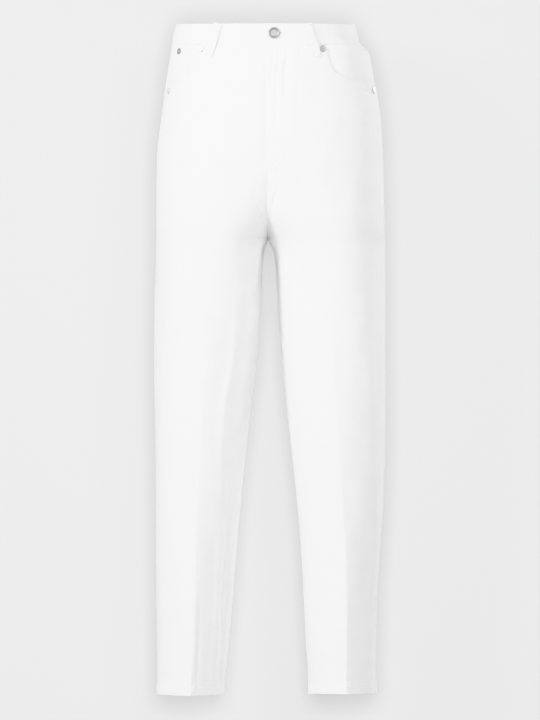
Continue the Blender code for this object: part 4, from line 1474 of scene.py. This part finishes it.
def scoop_rows(side):
    """Two rows of stitching round a front pocket's opening."""
    share, z = scoop_line(side, np.linspace(0.0, 1.0, 90))
    edge = np.stack([arc_of(side, FRONT, share, z), z], axis=1)
    rows = []
    for distance in BOTH_ROWS:
        spots = beside(edge, distance)
        spots = spots[spots[:, 1] < band_seam(FRONT, SCOOP_START[side]) - 1.0]
        spots = spots[spots[:, 0] < arc_of(side, FRONT, np.ones(len(spots)), spots[:, 1]) - 1.5]
        rows.append(front_skin(side, share_for_arc(side, FRONT, *spots.T), spots[:, 1]))
    return rows


def fly_rows():
    """Two rows of stitching that curve in to the foot of the fly."""
    rows = []
    for distance in FLY_ROWS:
        spots = beside(line_through(FLY_STITCH, 100), distance)
        spots = spots[spots[:, 0] > SEAM_LINE(spots[:, 1]) + 1.0]
        rows.append(front_skin(LEFT, shares_at(LEFT, FRONT, spots), spots[:, 1]))
    return rows


def fly_bar(x, z, half, angle):
    """A bar of close stitches at the foot of the fly, centred at (across, height)."""
    t = np.linspace(-half, half, 8)
    spots = np.stack([x + t * math.cos(angle), z + t * math.sin(angle)], axis=1)
    return front_skin(LEFT, shares_at(LEFT, FRONT, spots), spots[:, 1])


def band_rows():
    """Rows along the waistband's top and foot, and across its lapped end."""
    turns = np.linspace(BAND_ROW_START, BAND_SINK_START + 0.10, 520)
    drops = (FIRST_ROW, BAND_HEIGHT - FIRST_ROW)
    rows = [line_of([band_spot(turn, drop) for turn in turns]) for drop in drops]
    return rows + [line_of([band_spot(BAND_ROW_START, drop) for drop in np.linspace(*drops, 20)])]


def loop_spot(row, drop, out):
    """A place on a belt loop's face: a drop, and a share of half its width across."""
    centre, normal, across = loop_frame(row, drop)
    return centre + across * out * LOOP_WIDTH / 2 + normal * LOOP_WALL * 0.80, normal


def loop_rows(row):
    """Two rows down a belt loop."""
    drops = np.linspace(2.5, LOOP_LENGTH - 2.5, 30)
    return [line_of([loop_spot(row, drop, out) for drop in drops]) for out in (-0.74, 0.74)]


def loop_bars(row):
    """Bars of close stitches across a belt loop's two ends."""
    outs = np.linspace(-0.92, 0.92, 9)
    return [line_of([loop_spot(row, drop, out) for out in outs]) for drop in (3.2, LOOP_LENGTH - 3.2)]


def pocket_rows(side):
    """Double rows round a back pocket, and one under its top hem."""
    rows = []
    for inset in BOTH_ROWS:
        spots = []
        foot = 1 - inset / POCKET_HEIGHT
        for end, down in ((-1.0, np.linspace(0.004, 1, 60)), (1.0, np.linspace(1, 0.004, 60))):
            z = pocket_spot(np.full(60, end), down)[1]
            half = (POCKET_HALF - POCKET_TAPER * down) * arc_of(side, BACK, np.ones(60), z)
            spots += list(zip(end * (1 - inset / half), np.minimum(down, foot)))
            if end < 0:
                spots += list(zip(np.linspace(-1, 1, 40) * (1 - inset / half[-1]), np.full(40, foot)))
        rows.append(pocket_skin(side, *np.array(spots).T))
    across = np.linspace(-0.985, 0.985, 90)
    length = POCKET_HEIGHT + POCKET_POINT * (1 - np.abs(across))
    return rows + [pocket_skin(side, across, (POCKET_TURNED - FIRST_ROW) / length)]


def coin_rows():
    """Double rows round the coin pocket's sides and top."""
    across = np.linspace(0.03, 0.97, 40)
    rows = [coin_skin(across, np.full(40, drop / COIN_HEIGHT)) for drop in BOTH_ROWS]
    down = np.linspace(0.02, 0.97, 40)
    return rows + [coin_skin(np.full(40, edge), down) for edge in (0.03, 0.97)]


def hem_row(side, face):
    """The row that holds a hem, half way round a leg."""
    share = np.linspace(0.004, 0.996, 90)
    z = hem_edge(side, face, share) + HEM_STITCH
    skin = front_skin if face == FRONT else back_skin
    return skin(side, share, z)


def yoke_rows(side):
    """Double rows above the yoke's foot."""
    share = np.linspace(0.004, 0.996, 90)
    rows = []
    for up in (FIRST_ROW, SECOND_ROW):
        z = yoke_seam(share) + SEAM_GAP / 2 + up
        rows.append(back_skin(side, share, z, yoke_rise(share, up)))
    return rows


def buttonhole_lines():
    """Close stitches round the buttonhole, as a keyhole that opens at the button."""
    x, z = BUTTON_AT
    slit_end = x + 13.6
    half = 1.7
    spots = [(x + 1.0, z + half), (slit_end - 2.4, z + half), (slit_end - 0.9, z + half * 0.8), (slit_end, z)]
    spots += [(slit_end - 0.9, z - half * 0.8), (slit_end - 2.4, z - half), (x + 1.0, z - half)]
    return [line_of([band_spot_at(*spot) for spot in line_through(spots, 50)])]


def buttonhole_slit(material):
    """A thin dark sheet in the narrow slit between the buttonhole's stitches, coloured with painted shade."""
    x, z = BUTTON_AT
    spots = []
    for t in np.linspace(0, 1, 14):
        half = 0.55 * math.sin(math.pi * (0.12 + 0.80 * t))
        spots.append((x + 2.0 + 10.9 * t, half))
    vertices = []
    for across, half in spots:
        for up in (-half, half):
            point, normal = band_spot_at(across, z + up)
            vertices += [point + normal * 0.05, point - normal * 0.35]
    faces = []
    for i in range(len(spots) - 1):
        a = i * 4
        b = a + 4
        faces += [(a, b, b + 2, a + 2), (a + 1, a + 3, b + 3, b + 1)]
        faces += [(a, a + 1, b + 1, b), (a + 2, b + 2, b + 3, a + 3)]
    last = (len(spots) - 1) * 4
    faces += [(0, 2, 3, 1), (last, last + 1, last + 3, last + 2)]
    return build_mesh("buttonhole_slit", vertices, faces, material)


def zip_teeth(material):
    """Two rows of small blocks down the zip tape's inner face."""
    vertices = []
    faces = []
    depth = CLOTH + LAYER_ROOM + ZIP_WALL + 0.05
    for i in range(56):
        z = float(band_seam(FRONT, 0.02)) - 8.0 - i * 2.2
        for hand in (-1, 1):
            height = z - (1.1 if hand > 0 else 0.0)
            share = share_at(LEFT, FRONT, float(SEAM_LINE(height)) + 4.0 + hand * 1.3, height)
            point, normal = cloth(LEFT, FRONT, share, height, -depth)
            start = len(vertices)
            for c in (0, 1):
                for a, b in ((-1, -1), (1, -1), (1, 1), (-1, 1)):
                    vertices.append(point + np.array([a * 1.5, 0, b * 0.55]) - normal * c * 0.6)
            for quad in ((0, 1, 2, 3), (7, 6, 5, 4), (4, 5, 1, 0), (5, 6, 2, 1), (6, 7, 3, 2), (7, 4, 0, 3)):
                faces.append(tuple(start + q for q in quad))
    return build_mesh("zip_teeth", vertices, faces, material)


# Colours
WHITE_LIGHT = (0.915, 0.915, 0.912)
WHITE_SHADE = (0.885, 0.886, 0.884)

denim_cloth = denim("white_denim_cloth", WHITE_LIGHT, WHITE_SHADE)
band_cloth = denim("waistband_cloth", WHITE_LIGHT, WHITE_SHADE, 0.9)
pocket_cloth = denim("pocket_cloth", WHITE_LIGHT, WHITE_SHADE, 1.1)
white_thread = thread("white_thread", (0.93, 0.93, 0.925))
zip_cloth = tape("woven_zip_tape", (0.88, 0.88, 0.87))
button_nickel = nickel("brushed_nickel", (0.47, 0.47, 0.475), 0.52, 0.66)
rivet_nickel = nickel("rivet_nickel", (0.45, 0.45, 0.455), 0.44, 0.58)
# A paler copy of the rivet nickel: its lighter colour is a painted highlight
nickel_painted_gleam = nickel("nickel_painted_gleam", (0.78, 0.78, 0.785), 0.50, 0.62)
slit_shadow = dark_slit("buttonhole_shadow", (0.42, 0.42, 0.42))


def settle(piece, slot, *nodes):
    """A finished piece rides on the garment and stands for its solids, which are hidden. The slot is not used.
    """
    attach(piece, "root")
    if nodes:
        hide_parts(*nodes)
    return piece


def make_cloth():
    """Every cut of cloth, by the node that it stands for."""
    made = {}

    def add(piece, slot, node):
        made[node] = settle(piece, slot, node)

    under_front = CLOTH + LAYER_ROOM
    behind_zip = under_front + ZIP_WALL + LAYER_ROOM
    facing_depth = {LEFT: under_front, RIGHT: under_front + COIN_WALL + LAYER_ROOM}
    for side, word in SIDE_NAME.items():
        add(front_piece(side), "white_denim", f"front_{word}")
        add(back_piece(side), "white_denim", f"back_{word}")
        add(yoke_piece(side), "white_denim", f"yoke_{word}")
        add(facing_piece(side, facing_depth[side]), "pocket_denim", f"pocket_facing_{word}")
        add(back_pocket_piece(side), "pocket_denim", f"back_pocket_{word}")
    add(coin_pocket_piece(), "pocket_denim", "coin_pocket")
    add(waistband_piece(), "waistband_denim", "waistband")
    add(fly_strip("zip_tape_strip", ZIP_REACH, under_front, ZIP_WALL, zip_cloth), "zip_tape", "fly_zip")
    add(fly_strip("fly_shield", UNDERLAP_REACH, behind_zip, CLOTH, denim_cloth), "white_denim", "fly_underlap")
    for row in BELT_LOOPS:
        add(belt_loop_piece(row), "waistband_denim", row[0])
    return made


def make_metal():
    """The button, rivets and zip teeth."""
    settle(button_piece(button_nickel), "button_metal", "waist_button")
    for node, side, x, z in RIVETS:
        # Painted highlight: these rivets get the paler nickel so they gleam almost white
        finish = nickel_painted_gleam if node in RIVETS_PAINTED_GLEAM else rivet_nickel
        settle(rivet_piece(node, side, x, z, CAP_ROOM, finish), "button_metal", node)
    x, z = COIN_RIVET_AT
    coin = rivet_piece("rivet_coin_pocket", RIGHT, x, z, CAP_ROOM + COIN_WALL - SCOOP_RAISE, rivet_nickel)
    settle(coin, "button_metal", "rivet_coin_pocket")
    settle(zip_teeth(button_nickel), "button_metal")
    settle(buttonhole_slit(slit_shadow), "waistband_denim")


def make_sewing():
    """Every row of stitching."""
    tree = stitch_tree()

    def sew(name, lines, kind=LONG_STITCH):
        settle(sewn(name, lines, tree, kind), "white_denim")

    sew("waistband_stitching", band_rows())
    sew("fly_stitching", fly_rows())
    for side, word in SIDE_NAME.items():
        sew(f"{word}_scoop_stitching", scoop_rows(side))
        sew(f"{word}_back_pocket_stitching", pocket_rows(side))
        sew(f"{word}_yoke_stitching", yoke_rows(side))
        sew(f"{word}_hem_stitching", [hem_row(side, FRONT), hem_row(side, BACK)])
        inseam_foot = HEM_FLOOR[side] + HEM_HEIGHT
        sew(f"{word}_inseam_stitching", rows_on(back_skin, side, BACK, BOTH_ROWS, CROTCH - 8, inseam_foot))
        side_top = float(yoke_seam(1.0)) - 4
        sew(f"{word}_side_stitching", rows_on(back_skin, side, BACK, (SIDE_ROW,), side_top, -250))
    sew("coin_pocket_stitching", coin_rows())
    seat = rows_on(back_skin, LEFT, BACK, BOTH_ROWS, YOKE_MIDDLE - 2, CROTCH + 8)
    seat += rows_on(back_skin, LEFT, BACK, BOTH_ROWS, float(band_seam(BACK, 0.0)) - 2, YOKE_MIDDLE + 12)
    sew("seat_seam_stitching", seat)
    sew("rise_stitching", rows_on(front_skin, LEFT, FRONT, BOTH_ROWS, FLY_FOOT, CROTCH + 4))
    for row in BELT_LOOPS:
        word = row[0].replace("belt_loop_", "")
        sew(f"{word}_loop_stitching", loop_rows(row))
        sew(f"{word}_loop_bars", loop_bars(row), BAR_STITCH)
    sew("fly_bars", [fly_bar(7.6, -213.5, 4.6, -0.15), fly_bar(7.2, -224.0, 4.2, 0.0)], BAR_STITCH)
    sew("buttonhole_stitching", buttonhole_lines(), HOLE_STITCH)


# Stage, light and camera
CAMERA_AT = (0.0045, -7.0, -0.5057)
CAMERA_LENS = 232.6
BACKDROP_Y = 0.165
FLOOR_Z = -1.16
BACKDROP_GREY = 0.12
BACKDROP_GLOW = 0.515
HALO_POWER = 350.0
FLOOR_GREY = 0.30
FLOOR_GLOW = 0.45
LIT_MIDDLE = Vector((0.0, 0.0, -0.5))


def matte(name, grey, glow, see_through_back):
    """A plain matte paper, which may glow evenly and be see-through from behind."""
    material, tree, shader = new_material(name)
    place = node_in(tree, "ShaderNodeTexCoord").outputs["Object"]
    fibre = noise_on(tree, place, 60.0)
    low = (grey * 0.997,) * 3
    high = (grey * 1.003,) * 3
    tree.links.new(blend(tree, fibre, low, high), shader.inputs["Base Color"])
    socket(shader, "Roughness", 1.0)
    socket(shader, "Specular IOR Level", 0.0)
    socket(shader, "Emission Color", (1.0, 1.0, 1.0, 1.0))
    socket(shader, "Emission Strength", glow)
    if see_through_back:
        back = node_in(tree, "ShaderNodeNewGeometry").outputs["Backfacing"]
        clear = node_in(tree, "ShaderNodeBsdfTransparent").outputs[0]
        mix = node_in(tree, "ShaderNodeMixShader")
        tree.links.new(back, mix.inputs[0])
        tree.links.new(shader.outputs[0], mix.inputs[1])
        tree.links.new(clear, mix.inputs[2])
        tree.links.new(mix.outputs[0], tree.nodes["Material Output"].inputs["Surface"])
    return material


def flat_sheet(name, corners, material):
    """A flat piece of the stage."""
    mesh = bpy.data.meshes.new(name)
    mesh.from_pydata(corners, [], [(0, 1, 2, 3)])
    mesh.materials.append(material)
    made = placed(name, mesh)
    return made


def make_stage():
    """A pale floor, and a backdrop just behind the jeans that neither lights nor shades them."""
    wide = 1.3
    high = 0.75
    paper = matte("backdrop_paper", BACKDROP_GREY, BACKDROP_GLOW, True)
    corners = [(-wide, BACKDROP_Y, FLOOR_Z), (wide, BACKDROP_Y, FLOOR_Z)]
    corners += [(wide, BACKDROP_Y, high), (-wide, BACKDROP_Y, high)]
    backdrop = flat_sheet("backdrop", corners, paper)
    for ray in ("visible_diffuse", "visible_glossy", "visible_transmission", "visible_shadow"):
        setattr(backdrop, ray, False)
    reach = 7.0
    corners = [(x * reach, y * reach, FLOOR_Z) for x, y in ((-1, -1), (1, -1), (1, 1), (-1, 1))]
    flat_sheet("floor", corners, matte("floor_paper", FLOOR_GREY, FLOOR_GLOW, False))


def soft_light(name, place, width, power):
    """A square area light, turned to the middle of the jeans."""
    data = bpy.data.lights.new(name, "AREA")
    data.shape = "RECTANGLE"
    data.size = data.size_y = width
    data.energy = power
    made = placed(name, data)
    made.location = place
    made.rotation_euler = (LIT_MIDDLE - Vector(place)).to_track_quat("-Z", "Y").to_euler()
    made.visible_camera = False
    return made


# The room as it is seen, and the part of it that lights the cloth
ROOM_GREY = 0.85
ROOM_LIGHT = 0.40

# How bright daylight comes out: the shoulder that keeps white cloth from burning out
TONES = table(
    "light shown",
    (0.0, 0.0),
    (0.40, 0.40),
    (0.70, 0.70),
    (0.82, 0.815),
    (0.92, 0.885),
    (1.05, 0.928),
    (1.20, 0.947),
    (1.40, 0.955),
)


def set_exposure():
    """Plain colour with a soft shoulder in the whites."""
    view = bpy.context.scene.view_settings
    view.view_transform = "Standard"
    view.use_curve_mapping = True
    mapping = view.curve_mapping
    brightest = TONES["light"][-1]
    mapping.white_level = (brightest,) * 3
    curve = mapping.curves[3]
    spots = list(zip(TONES["light"] / brightest, TONES["shown"]))
    curve.points[0].location = spots[0]
    curve.points[-1].location = spots[-1]
    for spot in spots[1:-1]:
        curve.points.new(*spot)
    for point in curve.points:
        point.handle_type = "AUTO_CLAMPED"
    mapping.update()


def make_room():
    """A pale room that lights the cloth less than it shows."""
    world = bpy.data.worlds.new("studio")
    world.use_nodes = True
    tree = world.node_tree
    diffuse_ray = node_in(tree, "ShaderNodeLightPath").outputs["Is Diffuse Ray"]
    background = tree.nodes["Background"]
    grey = blend(tree, diffuse_ray, (ROOM_GREY,) * 3, (ROOM_LIGHT,) * 3)
    tree.links.new(grey, background.inputs["Color"])
    socket(background, "Strength", 1.0)
    bpy.context.scene.world = world


# The two front lights: place, power, and the share of it that casts shadows
FRONT_LIGHTS = (
    ("left_light", (-2.26, -1.97, 0.9), 58.0, 0.72),
    ("right_light", (0.9, -2.9, 0.9), 38.0, 0.5),
)


def make_light():
    """Even studio light, stronger from the left. Part of each front light is too wide to cast a shadow."""
    make_room()
    for name, place, power, shadow in FRONT_LIGHTS:
        soft_light(name, place, 1.6, power * (1 - shadow)).data.use_shadow = False
        soft_light(f"{name}_with_shadow", place, 1.0, power * shadow)
    soft_light("right_side_light", (3.1, -1.0, 0.6), 1.2, 10.0)
    soft_light("back_left_light", (2.5, 2.4, 1.1), 1.0, 44.0)
    soft_light("back_right_light", (-1.6, 3.0, 0.5), 1.6, 15.0)
    halo = soft_light("backdrop_light", (CAMERA_AT[0], -4.2, -0.40), 1.0, HALO_POWER)
    lit = bpy.data.collections.new("backdrop_light_on")
    lit.objects.link(bpy.data.objects["backdrop"])
    halo.light_linking.receiver_collection = lit


def make_camera():
    """The camera, level and square to the front."""
    data = bpy.data.cameras.new("camera")
    data.sensor_width = 36.0
    data.lens = CAMERA_LENS
    data.clip_end = 40.0
    made = placed("camera", data)
    made.location = CAMERA_AT
    made.rotation_euler = (math.pi / 2, 0.0, 0.0)
    bpy.context.scene.camera = made


set_exposure()
make_camera()
cuts = make_cloth()
make_metal()
make_sewing()
make_stage()
make_light()
